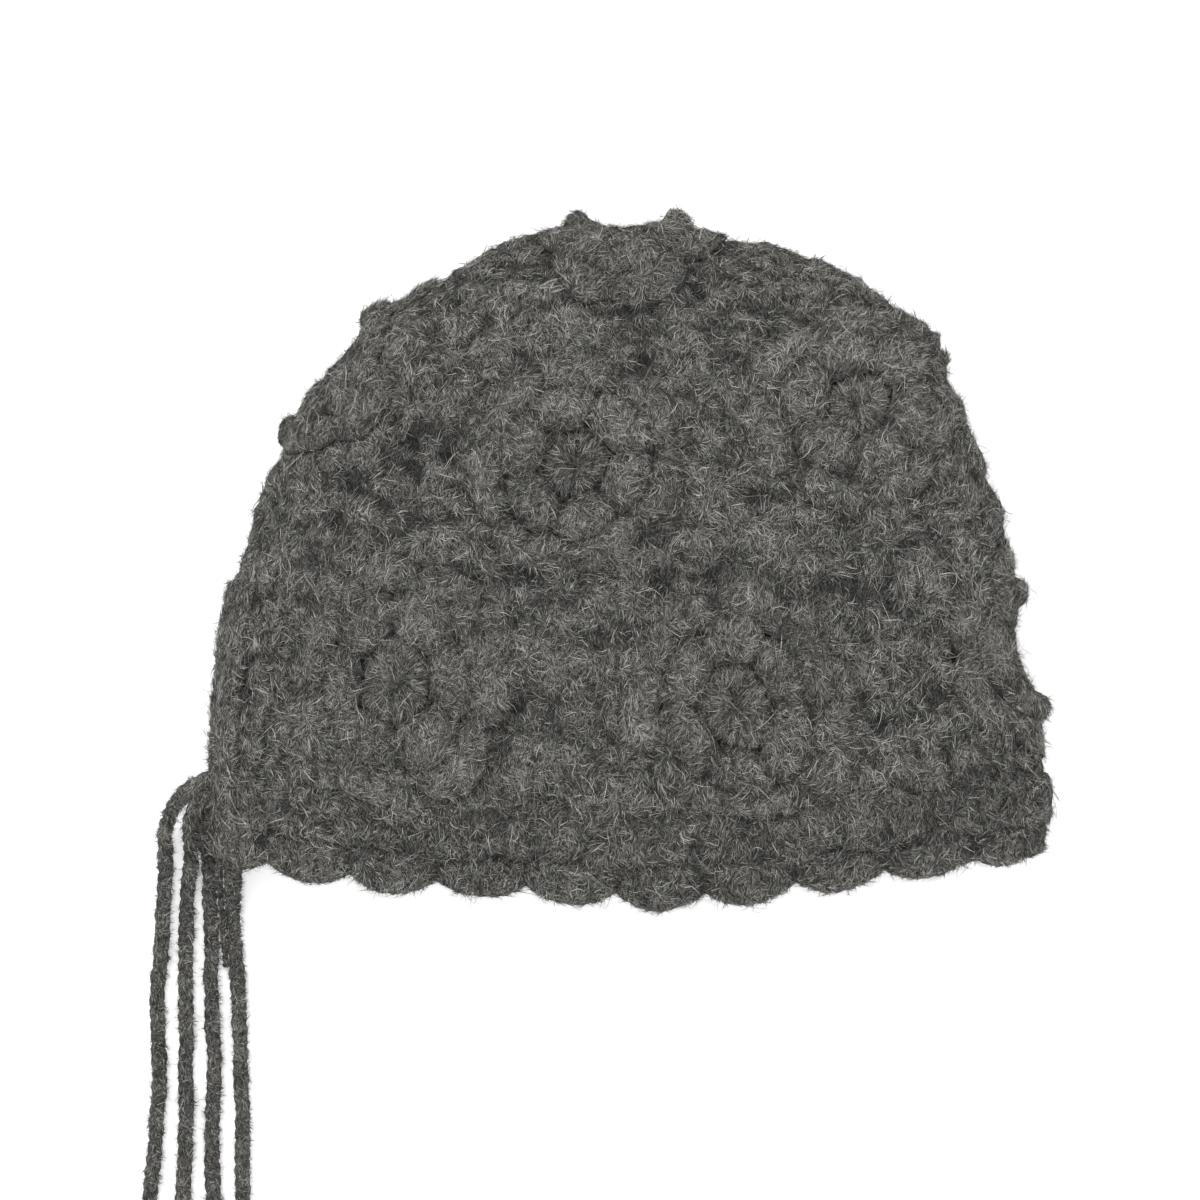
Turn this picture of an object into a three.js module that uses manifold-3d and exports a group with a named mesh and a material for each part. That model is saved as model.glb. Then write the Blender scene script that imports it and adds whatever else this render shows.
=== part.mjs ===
// Crochet bonnet: a thick fuzzy cap worked in rose motifs, with a scalloped hem and a short slit
// in one side that four tie cords close. It lies on its side, as it is laid down to be photographed.
// Millimetres, +Z up. The crown points to +Y, the open rim to -Y, and the slit is in the -X fold.
import * as THREE from "three";
import { mergeVertices } from "three/addons/utils/BufferGeometryUtils.js";
import Module from "manifold-3d";

const wasm = await Module();
wasm.setup();

// Driving dimensions
const foldToFold = 258; // across the cap, lying flat
const crownRise = 171; // from the band's top edge to the crown's top
const bandHeight = 13; // plain rows between the roses and the scallops
const edgingHeight = 13; // scalloped edging, with its lobes
const lobeDepth = 4.6; // how far a scallop stands below the notch beside it
const scallops = 20; // lobes round the whole rim
const upperLoft = 35; // from the folds up to the top layer
const lowerLoft = 20; // from the folds down to the layer underneath
const wall = 5; // thickness of the crocheted fabric
const bandSwell = 0.7; // how much thicker the slit's edge bands are, each way
const clearance = 0.35; // between pieces that touch

const slitLength = 88; // up the fold from the rim
const slitGap = 1.6; // between the slit's two edge bands
const edgeBandWidth = 7.5; // of each edge band, across the fold

const heartRadius = 10.4;
const heartHeight = 3.6;
const innerPetalHeight = 7.6;
const outerPetalReach = 35.5; // from a rose's middle to the tips of its outer petals
const innerPetalReach = 0.662 * outerPetalReach;
const outerPetalHeight = 5.6;
const petalNotch = 3.4; // how far the notch between two petals cuts in
const petals = 6; // in the inner round, and one more in the outer round
const pressedFlat = 2.4; // what the floor presses off the lowest petals

const cordDiameter = 4.4;
const knotDiameter = 9;
const tailDiameter = 2;

// How round the form is: across the folds, and from the band over the crown
const foldPower = 2.5;
const crownPower = 2.5;

// How far the real outline stands from the plain form, up the crown, at the left and right folds
const outlineRows = [
  { up: -0.16, left: 0.99, right: 0.995 },
  { up: 0.0, left: 1.0, right: 1.0 },
  { up: 0.29, left: 0.99, right: 0.935 },
  { up: 0.49, left: 0.955, right: 0.96 },
  { up: 0.7, left: 0.925, right: 0.97 },
  { up: 0.83, left: 0.895, right: 1.035 },
  { up: 0.9, left: 0.845, right: 1.0 },
  { up: 1.0, left: 0.81, right: 0.93 },
];

// How far each scallop is drawn up, from the left fold to the right one, on top and underneath
const hemRows = [
  { top: 1.0, under: 1.0 },
  { top: 0.2, under: 1.2 },
  { top: 1.0, under: 1.4 },
  { top: 2.4, under: 1.5 },
  { top: 1.6, under: 1.5 },
  { top: 0.1, under: 1.6 },
  { top: 0.3, under: 1.8 },
  { top: 2.9, under: 2.0 },
  { top: 2.9, under: 2.4 },
  { top: 2.6, under: 2.6 },
];

// Soft hollows of the top layer: across and up as shares of the half width and the crown's rise
const hollows = [
  { across: -0.42, up: 0.28, spread: 46, depth: 3.2 },
  { across: 0.18, up: 0.5, spread: 40, depth: 3.6 },
  { across: 0.66, up: 0.42, spread: 34, depth: 2.8 },
  { across: -0.2, up: 0.84, spread: 36, depth: 3.0 },
  { across: 0.3, up: -0.02, spread: 38, depth: 2.6 },
];

// Where the cloth sags: the rim's middle slips out, its lips droop and the slit's corner falls
const rimSlipTop = 13.5;
const rimSlipUnder = 8;
const lipDroopTop = 7;
const lipDroopUnder = 1.5;
const foldDroop = 5;
const slitDroop = 5;

// Roses: where each middle lies, seen from above, as shares of the half width and the crown's rise.
// side is 1 on the top layer, -1 underneath and 0 on a fold. turn is the first petal's bearing.
const roses = [
  { name: "a", across: -0.126, up: 0.572, side: 1, turn: 0.2, heart: 1.0 },
  { name: "b", across: -0.552, up: 0.182, side: 1, turn: 0.55, heart: 1.12 },
  { name: "c", across: 0.256, up: 0.138, side: 1, turn: 0.0, heart: 1.1 },
  { name: "d", across: 0.546, up: 0.678, side: 1, turn: 0.35, heart: 0.96 },
  { name: "top", across: -0.01, up: 1.0, side: 0, turn: 0.1, heart: 1.0 },
  { name: "left", across: -0.72, up: 0.745, side: 0, turn: 0.3, heart: 1.0 },
  { name: "right", across: 0.93, up: 0.23, side: 0, turn: 0.45, heart: 1.0 },
  { name: "e", across: -0.06, up: 0.56, side: -1, turn: 0.15, heart: 1.0 },
  { name: "f", across: -0.5, up: 0.17, side: -1, turn: 0.4, heart: 1.0 },
  { name: "g", across: 0.3, up: 0.14, side: -1, turn: 0.7, heart: 1.0 },
  { name: "h", across: 0.5, up: 0.62, side: -1, turn: 0.5, heart: 1.0 },
];

// Tie cords: the middle line of each from the slit to its knot, as [x, y, z]. x and y are measured
// from the foot of the middle of the rim, and z from the surface that the bonnet lies on.
const cordRoutes = {
  tie_cord_1: [
    [-131.2, 26.0, 22.6], [-134.1, 24.8, 22.2], [-138.1, 21.3, 19.0], [-142.0, 16.0, 13.2],
    [-144.5, 9.1, 7.4], [-144.4, 1.5, 3.6], [-144.7, -6.0, 2.3], [-145.1, -14.0, 2.3],
    [-145.9, -27.0, 2.3], [-146.6, -40.0, 2.3], [-146.7, -54.0, 2.3], [-146.2, -68.0, 2.3],
    [-147.0, -80.0, 2.3], [-148.1, -92.0, 2.3], [-148.9, -101.0, 2.3], [-149.4, -107.0, 2.3],
  ],
  tie_cord_2: [
    [-131.0, 20.9, 21.6], [-133.2, 19.6, 20.6], [-135.0, 16.2, 17.0], [-136.2, 11.0, 12.0],
    [-136.4, 5.0, 7.2], [-136.3, -1.5, 3.6], [-137.6, -9.0, 2.3], [-137.7, -22.0, 2.3],
    [-137.9, -36.0, 2.3], [-137.9, -50.0, 2.3], [-138.1, -64.0, 2.3], [-138.1, -78.0, 2.3],
    [-138.2, -90.0, 2.3], [-138.7, -101.0, 2.3], [-138.9, -108.0, 2.3],
  ],
  tie_cord_3: [
    [-130.6, 14.9, 14.6], [-131.6, 12.6, 13.2], [-131.7, 8.0, 10.2], [-131.1, 2.0, 6.4],
    [-130.6, -4.5, 3.2], [-130.8, -11.0, 2.3], [-130.1, -23.0, 2.3], [-130.1, -36.0, 2.3],
    [-129.8, -50.0, 2.3], [-129.2, -64.0, 2.3], [-129.6, -78.0, 2.3], [-129.8, -90.0, 2.3],
    [-129.5, -101.0, 2.3], [-129.4, -106.0, 2.3],
  ],
  tie_cord_4: [
    [-122.8, 0.2, 13.4], [-122.9, -2.3, 12.0], [-123.1, -5.8, 8.4], [-123.3, -10.6, 4.6],
    [-123.2, -16.5, 2.6], [-122.9, -23.3, 2.3], [-122.1, -33.0, 2.3], [-121.6, -45.0, 2.3],
    [-121.0, -56.0, 2.3], [-120.7, -70.0, 2.3], [-120.2, -85.0, 2.3], [-120.1, -101.0, 2.3],
    [-120.2, -109.0, 2.3],
  ],
};
const tailRoute = [
  [-127.4, 0.6, 13.2], [-127.4, -2.2, 10.4], [-127.2, -6.0, 7.0], [-127.0, -11.0, 4.8],
  [-126.6, -17.0, 4.0], [-126.2, -23.5, 3.2], [-125.8, -29.0, 1.8], [-125.6, -33.0, 1.1],
];

// Fineness of the nets
const crownTurns = 38;
const crownRows = 8;
const plainest = 0.2; // facets of a petal this near to flat are joined
const plainestForm = 0.07; // and of the form under the petals
const lobeSteps = 4;
const petalSteps = 3; // of a rose on the top layer or a fold, and one less underneath
const cordSides = 8;

const halfWidth = foldToFold / 2;
const hemDrop = bandHeight + edgingHeight;
const smooth = (t) => THREE.MathUtils.smoothstep(t, 0, 1);
const power = (v, p) => Math.sign(v) * Math.abs(v) ** p;

// The plain form, before the cloth settles

/** Above 0 outside the plain form, below 0 inside, for a form grown by `out` on every side. */
function outside(p, out = 0) {
  const loft = (p.z > 0 ? upperLoft : lowerLoft) + out;
  const level = Math.max(p.y, 0) / (crownRise + out);
  const ring =
    Math.abs(p.x / (halfWidth + out)) ** foldPower + Math.abs(p.z / loft) ** foldPower;
  return ring ** (crownPower / foldPower) + level ** crownPower - 1;
}

/** Outward direction of the plain form at a point. */
function outward(p) {
  const h = 0.02;
  const slope = (axis) => {
    const ahead = p.clone();
    const behind = p.clone();
    ahead[axis] += h;
    behind[axis] -= h;
    return outside(ahead) - outside(behind);
  };
  return new THREE.Vector3(slope("x"), slope("y"), slope("z")).normalize();
}

/** The point of the plain form nearest to p, found along the slope. */
function ontoForm(p) {
  const q = p.clone();
  for (let pass = 0; pass < 6; pass++) {
    const n = outward(q);
    const h = 0.05;
    const rate = (outside(q.clone().addScaledVector(n, h)) - outside(q)) / h;
    q.addScaledVector(n, -outside(q) / rate);
  }
  return q;
}

/** A point of the form: turn runs round the rim from the left fold over the top layer, `climb`
 * from 0 at the band's top edge to 1 at the crown's top, or below 0 down the rim in millimetres. */
function formPoint(turn, climb, inset = 0) {
  const angle = turn * 2 * Math.PI;
  const across = -power(Math.cos(angle), 2 / foldPower);
  const above = power(Math.sin(angle), 2 / foldPower);
  const bearing = (Math.max(climb, 0) * Math.PI) / 2;
  const girth = Math.abs(Math.cos(bearing)) ** (2 / crownPower);
  const loft = (above > 0 ? upperLoft : lowerLoft) - inset;
  return new THREE.Vector3(
    across * (halfWidth - inset) * girth,
    climb > 0 ? (crownRise - inset) * Math.sin(bearing) ** (2 / crownPower) : climb,
    above * loft * girth,
  );
}

const outPoint = (turn, climb, out) => {
  const p = formPoint(turn, climb);
  return p.addScaledVector(outward(p), out);
};

// How the cloth settles when the cap is laid on its side

function outlineShare(up, side) {
  const above = outlineRows.findIndex((row) => row.up >= up);
  if (above === 0) return outlineRows[0][side];
  if (above < 0) return outlineRows.at(-1)[side];
  const low = outlineRows[above - 1];
  const high = outlineRows[above];
  const t = smooth((up - low.up) / (high.up - low.up));
  return THREE.MathUtils.lerp(low[side], high[side], t);
}

/** Moves a point of the plain form to where the settled cloth has it. */
function settle(p) {
  const up = p.y / crownRise;
  const across = THREE.MathUtils.clamp(p.x / halfWidth, -1.1, 1.1);
  const rightward = smooth((across + 0.5) / 1);
  const share = THREE.MathUtils.lerp(
    outlineShare(up, "left"), outlineShare(up, "right"), rightward);
  const nearRim = 1 - smooth((p.y + hemDrop) / (0.5 * crownRise));
  const middle = 1 - Math.min(1, across * across);
  const top = smooth(0.5 + p.z / (2 * lowerLoft));
  const slip = THREE.MathUtils.lerp(rimSlipUnder, rimSlipTop, top);
  const droop = THREE.MathUtils.lerp(lipDroopUnder, lipDroopTop, top);
  const corner = smooth((-across - 0.55) / 0.45) * nearRim;
  let z = p.z - nearRim * middle * droop - foldDroop * across ** 4 - slitDroop * corner;
  for (const dent of hollows) {
    const dx = p.x - dent.across * halfWidth;
    const dy = p.y - dent.up * crownRise;
    z -= top * dent.depth * Math.exp(-(dx * dx + dy * dy) / (dent.spread * dent.spread));
  }
  return new THREE.Vector3(p.x * share, p.y - nearRim * middle * slip, z);
}

// Nets and solids

/** A closed net from a LatheGeometry, with each of its points laid out by place(turn, j). */
function layNet(rows, turns, place) {
  const flat = Array.from({ length: rows }, (_, j) => new THREE.Vector2(1, j));
  const net = new THREE.LatheGeometry(flat, turns);
  const at = net.getAttribute("position");
  for (let i = 0; i <= turns; i++) {
    for (let j = 0; j < rows; j++) {
      const p = place((i % turns) / turns, j);
      at.setXYZ(i * rows + j, p.x, p.y, p.z);
    }
  }
  return net;
}

/** A geometry as a manifold-3d solid, turned round if its faces point inwards. */
function toSolid(geometry) {
  const bare = geometry.clone();
  for (const name of Object.keys(bare.attributes)) {
    if (name !== "position") bare.deleteAttribute(name);
  }
  const merged = mergeVertices(bare, 1e-4);
  const corners = [];
  const index = merged.index.array;
  for (let i = 0; i < index.length; i += 3) {
    const [a, b, c] = [index[i], index[i + 1], index[i + 2]];
    if (a !== b && b !== c && c !== a) corners.push(a, b, c);
  }
  const make = (triangles) =>
    new wasm.Manifold(
      new wasm.Mesh({
        numProp: 3,
        vertProperties: merged.attributes.position.array,
        triVerts: new Uint32Array(triangles),
      }),
    );
  const made = make(corners);
  return made.volume() > 0 ? made : make(corners.reverse());
}

function toGeometry(solid) {
  const { vertProperties, triVerts } = solid.getMesh();
  const geometry = new THREE.BufferGeometry();
  geometry.setAttribute("position", new THREE.BufferAttribute(vertProperties, 3));
  geometry.setIndex(new THREE.BufferAttribute(triVerts, 1));
  return geometry;
}

/** A closed net of the plain form, moved to where the settled cloth has it, as a solid. */
function settledSolid(net) {
  const at = net.getAttribute("position");
  const p = new THREE.Vector3();
  for (let i = 0; i < at.count; i++) {
    p.copy(settle(p.fromBufferAttribute(at, i)));
    at.setXYZ(i, p.x, p.y, p.z);
  }
  return toSolid(net);
}

// The crown, the band and the scalloped edging: walls that follow the form

/** Where a wall lies: at this climb, `out` outside the form or `inset` inside it. */
function wallPoint(turn, { climb, out = 0, inset = 0 }) {
  if (inset) return formPoint(turn, climb, inset);
  return out ? outPoint(turn, climb, out) : formPoint(turn, climb);
}

function wallSolid(rows, turns = crownTurns) {
  return settledSolid(layNet(rows.length, turns, (turn, j) => wallPoint(turn, rows[j])));
}

const crownClimbs = Array.from({ length: crownRows + 1 }, (_, j) => 1 - j / crownRows);

/** The fold's wall from the crown's top down to `foot`, thicker by `swell` each way. */
function crownWall(foot, swell = 0) {
  const climbs = [...crownClimbs, ...foot];
  return wallSolid([
    ...climbs.map((climb) => ({ climb, out: swell })),
    ...climbs.toReversed().map((climb) => ({ climb, inset: wall + swell })),
  ]);
}

/** The form as a filled solid, grown by `out`, down to the hem. */
function filledForm(out) {
  const climbs = [...crownClimbs, -bandHeight, -hemDrop - lobeDepth];
  return settledSolid(
    layNet(climbs.length + 1, crownTurns, (turn, j) => {
      if (j === climbs.length) return new THREE.Vector3(0, climbs.at(-1), 0);
      return outPoint(turn, climbs[j], out);
    }),
  );
}

/** Share of the rim's length at each of a row of turns. */
function rimShares(steps) {
  const lengths = [0];
  for (let i = 1; i <= steps; i++) {
    const step = formPoint(i / steps, 0).distanceTo(formPoint((i - 1) / steps, 0));
    lengths.push(lengths.at(-1) + step);
  }
  return lengths.map((length) => length / lengths.at(-1));
}
const shares = rimShares(720);

/** The turn that lies at this share of the rim's length. */
function turnAt(share) {
  const i = Math.min(shares.length - 2, shares.findLastIndex((s) => s <= share));
  const within = (share - shares[i]) / (shares[i + 1] - shares[i]);
  return (i + within) / (shares.length - 1);
}

function plainBand() {
  const [high, low] = [-clearance, -bandHeight];
  return wallSolid([
    { climb: high }, { climb: low }, { climb: low, inset: wall }, { climb: high, inset: wall },
    { climb: high },
  ]);
}

/** How far the hem is drawn up at this share of the rim's length. */
function hemLift(share) {
  const layer = share < 0.5 ? "top" : "under";
  const half = hemRows.length;
  const at = Math.min(Math.max((0.5 - Math.abs(0.5 - share)) * 2 * half - 0.5, 0), half - 1);
  const k = Math.min(Math.floor(at), half - 2);
  return THREE.MathUtils.lerp(hemRows[k][layer], hemRows[k + 1][layer], at - k);
}

function scallopedRing() {
  const steps = scallops * lobeSteps;
  const high = -bandHeight - clearance;
  return settledSolid(
    layNet(5, steps, (turn, j) => {
      const within = 2 * ((Math.round(turn * steps) / lobeSteps) % 1) - 1;
      const low = -hemDrop + hemLift(turn) + lobeDepth * within * within;
      const rows = [
        { climb: high }, { climb: low }, { climb: low, inset: wall },
        { climb: high, inset: wall }, { climb: high },
      ];
      return wallPoint(turnAt(turn), rows[j]);
    }),
  );
}

// The slit in the left fold

const slitTop = slitLength - hemDrop;
const foldLine = [-30, -15, 0, 15, 30, 45, 60, 75, 90].map((y) => {
  const climb = y <= 0 ? y : (2 / Math.PI) * Math.asin((y / crownRise) ** (crownPower / 2));
  return settle(formPoint(0, climb));
});

/** A flat-sided solid: an outline in one plane carried along the axis across it. */
function prism(outline, depth, axis) {
  const shape = new THREE.Shape(outline.map(([a, b]) => new THREE.Vector2(a, b)));
  const solid = new THREE.ExtrudeGeometry(shape, { depth, bevelEnabled: false });
  solid.translate(0, 0, -depth / 2);
  if (axis === "x") solid.applyMatrix4(new THREE.Matrix4().set(
    0, 0, 1, 0, 1, 0, 0, 0, 0, 1, 0, 0, 0, 0, 0, 1));
  return toSolid(solid);
}

/** Everything within `breadth` of the left fold's line, from the rim up to `height`. */
function alongFold(breadth, height) {
  const line = foldLine.filter((p) => p.y < height - 1);
  const far = 2 * foldToFold;
  const last = foldLine[line.length];
  const t = (height - line.at(-1).y) / (last.y - line.at(-1).y);
  const top = line.at(-1).clone().lerp(last, t);
  return prism(
    [[-far, -60], [line[0].x + breadth, -60], ...line.map((p) => [p.x + breadth, p.y]),
      [top.x + breadth, height], [-far, height]], far, "z");
}

/** Everything above the left fold's line, or below it for side -1, clear of the slit's middle. */
function besideFold(side) {
  const apart = (side * slitGap) / 2;
  const far = side * 200;
  return prism(
    [[-90, foldLine[0].z + apart], ...foldLine.map((p) => [p.y, p.z + apart]),
      [140, foldLine.at(-1).z + apart], [140, far], [-90, far]], 4 * foldToFold, "x");
}

const slitOpening = alongFold(edgeBandWidth + clearance, slitTop);
const edgeBandStrip = crownWall([-hemDrop + 0.5 * lobeDepth], bandSwell)
  .intersect(alongFold(edgeBandWidth, slitTop - clearance));

// Roses, laid over the crown along straight lines from each middle

/** The point of the form that settles over the wanted place, seen from above. */
function rosePlace({ across, up, side }) {
  const wanted = new THREE.Vector2(across * halfWidth, up * crownRise);
  const guess = wanted.clone();
  let p = new THREE.Vector3();
  for (let pass = 0; pass < 12; pass++) {
    if (side === 0) {
      p = ontoForm(new THREE.Vector3(guess.x, guess.y, 0).multiplyScalar(1));
      p.z = 0;
    } else {
      p = new THREE.Vector3(guess.x, guess.y, 0);
      let [inner, outer] = [0, side * (upperLoft + lowerLoft)];
      for (let halving = 0; halving < 30; halving++) {
        p.z = (inner + outer) / 2;
        if (outside(p) > 0) outer = p.z;
        else inner = p.z;
      }
    }
    const there = settle(p);
    guess.x += wanted.x - there.x;
    guess.y += wanted.y - there.y;
    if (side === 0) break;
  }
  return p;
}

/** Straight lines over the crown from a rose's middle: rays(turn, reach, out) is a point. */
function raysFrom(middle, count, reach) {
  const step = 2.5;
  const up = outward(middle);
  const aside = new THREE.Vector3(0, 1, 0).cross(up);
  if (aside.length() < 0.3) aside.set(1, 0, 0);
  aside.addScaledVector(up, -aside.dot(up)).normalize();
  const ahead = up.clone().cross(aside);
  const paths = Array.from({ length: count }, (_, i) => {
    const angle = (2 * Math.PI * i) / count;
    const heading = aside.clone().multiplyScalar(Math.cos(angle));
    heading.addScaledVector(ahead, Math.sin(angle));
    const path = [middle.clone()];
    while (path.length * step < reach + 2 * step) {
      const here = path.at(-1);
      const next = ontoForm(here.clone().addScaledVector(heading, step));
      heading.addScaledVector(outward(next), -heading.dot(outward(next))).normalize();
      path.push(next);
    }
    return path;
  });
  return (ray, distance, out) => {
    const path = paths[ray % count];
    const k = Math.min(path.length - 2, Math.floor(distance / step));
    const p = path[k].clone().lerp(path[k + 1], distance / step - k);
    return p.addScaledVector(outward(p), out);
  };
}

/** A round of petals: rows of its section, as {reach, out, notch}, for one set of rays. */
function petalRound(middle, count, steps, turn, rows) {
  const reach = rows[1].reach;
  const paths = raysFrom(middle, count * steps, reach);
  const first = Math.round(turn * steps);
  const rays = (ray, distance, out) => paths((ray + first) % (count * steps), distance, out);
  return settledSolid(
    layNet(rows.length, count * steps, (turn, j) => {
      const ray = Math.round(turn * count * steps);
      const within = Math.abs(2 * ((ray / steps) % 1) - 1);
      const cut = petalNotch * within ** 3 * rows[j].notch;
      return rays(ray, rows[j].reach - cut, rows[j].out * (1 - 0.16 * within ** 3 * rows[j].notch));
    }),
  );
}

const sunk = -1.2; // how deep a rose starts in the form, before the form is cut away from it
const parting = 0.7; // between a rose's heart and its rounds of petals

function roseHeart(middle, radius) {
  const sides = 11;
  const rays = raysFrom(middle, sides, radius);
  const rows = [
    { reach: 0, out: sunk }, { reach: radius, out: sunk }, { reach: radius, out: 1.6 },
    { reach: 0.6 * radius, out: heartHeight }, { reach: 0, out: 0.8 * heartHeight },
  ];
  return settledSolid(
    layNet(rows.length, sides, (turn, j) =>
      rays(Math.round(turn * sides), rows[j].reach, rows[j].out)),
  );
}

function innerPetals(middle, radius, turn, steps) {
  const start = radius + parting;
  return petalRound(middle, petals, steps, turn, [
    { reach: start, out: sunk, notch: 0 },
    { reach: innerPetalReach - 1.6, out: sunk, notch: 1 },
    { reach: innerPetalReach, out: 4.0, notch: 1 },
    { reach: start + 3.4, out: innerPetalHeight, notch: 0.3 },
    { reach: start, out: 3.6, notch: 0 },
    { reach: start, out: sunk, notch: 0 },
  ]);
}

function outerPetals(middle, turn, steps) {
  const start = innerPetalReach + parting;
  return petalRound(middle, petals + 1, steps, turn, [
    { reach: start, out: sunk, notch: 0 },
    { reach: outerPetalReach, out: sunk, notch: 1 },
    { reach: outerPetalReach - 0.6, out: 2.6, notch: 1 },
    { reach: start + 2.2, out: outerPetalHeight, notch: 0.3 },
    { reach: start, out: sunk, notch: 0 },
  ]);
}

// Cords, knots and the loose yarn end

function tube(route, diameter) {
  const curve = new THREE.CatmullRomCurve3(route.map((p) => new THREE.Vector3(...p)), false, "centripetal");
  const section = new THREE.Shape();
  for (let i = 0; i < cordSides; i++) {
    const angle = (2 * Math.PI * i) / cordSides;
    const [x, y] = [Math.cos(angle) * diameter / 2, Math.sin(angle) * diameter / 2];
    if (i === 0) section.moveTo(x, y);
    else section.lineTo(x, y);
  }
  const steps = Math.ceil(curve.getLength() / (2.8 * diameter));
  return new THREE.ExtrudeGeometry(section, { steps, extrudePath: curve, bevelEnabled: false });
}

/** A knot at a route's end, clear of the cord: a round body with a dimpled waist. */
function knot(route) {
  const end = new THREE.Vector3(...route.at(-1));
  const back = end.clone().sub(new THREE.Vector3(...route.at(-2))).normalize();
  const radius = knotDiameter / 2;
  const body = new THREE.SphereGeometry(radius, 8, 6);
  body.scale(0.94, 1.1, 1);
  const middle = end.clone().addScaledVector(back, 1.1 * radius + clearance);
  body.translate(middle.x, middle.y, radius);
  return body;
}

// Putting the bonnet together

const yarn = { roughness: 0.95, metalness: 0 };
const materials = {
  ground: new THREE.MeshStandardMaterial({ color: 0x575754, ...yarn }),
  petal: new THREE.MeshStandardMaterial({ color: 0x61615e, ...yarn }),
  edge: new THREE.MeshStandardMaterial({ color: 0x545451, ...yarn }),
  cord: new THREE.MeshStandardMaterial({ color: 0x4e4e4c, ...yarn }),
};

const cloth = new Map();
cloth.set("crown", [crownWall([]).subtract(slitOpening).simplify(plainestForm), materials.ground]);
cloth.set("rim_band", [plainBand().subtract(slitOpening), materials.edge]);
cloth.set("scallop_edging", [scallopedRing().subtract(slitOpening), materials.edge]);
cloth.set("slit_edge_upper", [edgeBandStrip.intersect(besideFold(1)), materials.edge]);
cloth.set("slit_edge_lower", [edgeBandStrip.intersect(besideFold(-1)), materials.edge]);

const formGap = filledForm(clearance).simplify(plainestForm);
for (const rose of roses) {
  const middle = rosePlace(rose);
  const radius = heartRadius * rose.heart;
  const steps = rose.side < 0 ? petalSteps - 1 : petalSteps;
  const pieces = {
    heart: roseHeart(middle, radius),
    inner_petals: innerPetals(middle, radius, rose.turn, steps),
    outer_petals: outerPetals(middle, rose.turn, steps),
  };
  for (const [part, solid] of Object.entries(pieces)) {
    const shape = solid.subtract(formGap).simplify(plainest);
    cloth.set(`rose_${rose.name}_${part}`, [shape, materials.petal]);
  }
}

// The floor presses the lowest petals flat, and the footprint's middle becomes the origin
const bounds = new THREE.Box3();
for (const [solid] of cloth.values()) {
  const { min, max } = solid.boundingBox();
  bounds.expandByPoint(new THREE.Vector3(...min)).expandByPoint(new THREE.Vector3(...max));
}
const floor = bounds.min.z + pressedFlat;
const centre = bounds.getCenter(new THREE.Vector3());

const bonnet = new THREE.Group();
function add(name, geometry, material) {
  const mesh = new THREE.Mesh(geometry, material);
  mesh.name = name;
  bonnet.add(mesh);
}
for (const [name, [solid, material]] of cloth) {
  const resting = solid.trimByPlane([0, 0, 1], floor).translate([-centre.x, -centre.y, -floor]);
  add(name, toGeometry(resting), material);
}

/** A route measured from the fold line's foot, in the finished frame. */
const placed = (route) =>
  route.map(([x, y, z]) => [x - centre.x, y - hemDrop - centre.y, z]);
for (const [name, route] of Object.entries(cordRoutes)) {
  add(name, tube(placed(route), cordDiameter), materials.cord);
  add(name.replace("tie_cord", "tie_knot"), knot(placed(route)), materials.cord);
}
add("yarn_tail", tube(placed(tailRoute), tailDiameter), materials.cord);

export default bonnet;
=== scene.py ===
"""Dress the crochet bonnet in heather grey wool and lay it under a soft studio light.

Lengths inside the classes are millimetres, as the maker would measure them; pieces are in metres.
"""

import logging
import math
from dataclasses import dataclass, field
from enum import Enum
from typing import Callable, Sequence

import bmesh
import bpy
import numpy as np
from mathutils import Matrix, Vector


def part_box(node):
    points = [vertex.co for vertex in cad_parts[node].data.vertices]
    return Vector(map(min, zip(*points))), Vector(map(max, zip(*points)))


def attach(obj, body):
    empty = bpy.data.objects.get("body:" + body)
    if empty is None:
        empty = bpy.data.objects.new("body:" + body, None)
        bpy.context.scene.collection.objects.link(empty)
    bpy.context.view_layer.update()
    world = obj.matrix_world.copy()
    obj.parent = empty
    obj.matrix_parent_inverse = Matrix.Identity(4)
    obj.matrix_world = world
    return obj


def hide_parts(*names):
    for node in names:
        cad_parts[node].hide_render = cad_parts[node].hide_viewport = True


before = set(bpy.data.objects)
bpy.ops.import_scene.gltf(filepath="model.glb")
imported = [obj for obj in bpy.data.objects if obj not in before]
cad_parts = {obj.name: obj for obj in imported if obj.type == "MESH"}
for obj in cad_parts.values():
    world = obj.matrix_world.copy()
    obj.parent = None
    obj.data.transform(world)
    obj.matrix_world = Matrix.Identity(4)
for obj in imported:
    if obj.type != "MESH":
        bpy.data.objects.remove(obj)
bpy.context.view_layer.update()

LOG = logging.getLogger("bonnet")
MM = 0.001
TAU = 2.0 * math.pi
# the rise given to the plain inner wall, where few loose fibres show
INSIDE_RISE = 0.45
# metres under which two corners of a net are one
WELD = 2e-6
# points that a smooth curve is given between two of its own, in sections and in cords
SECTION_SAMPLES = 12
CORD_SAMPLES = 24

Array = np.ndarray
# places in metres and heights from 0 to 1, for column and row numbers
Place = Callable[[Array, Array], tuple[Array, Array]]


# Noise and small helpers.


def unit(v: Array) -> Array:
    """Vectors scaled to a length of one."""
    return v / np.maximum(np.linalg.norm(v, axis=-1, keepdims=True), 1e-12)


def smooth(t: Array) -> Array:
    """The smooth step of a number from 0 to 1."""
    t = np.clip(t, 0.0, 1.0)
    return t * t * (3.0 - 2.0 * t)


def power(v: Array, p: float) -> Array:
    """The power of a number's size, with its sign kept."""
    return np.sign(v) * np.abs(v) ** p


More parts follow.
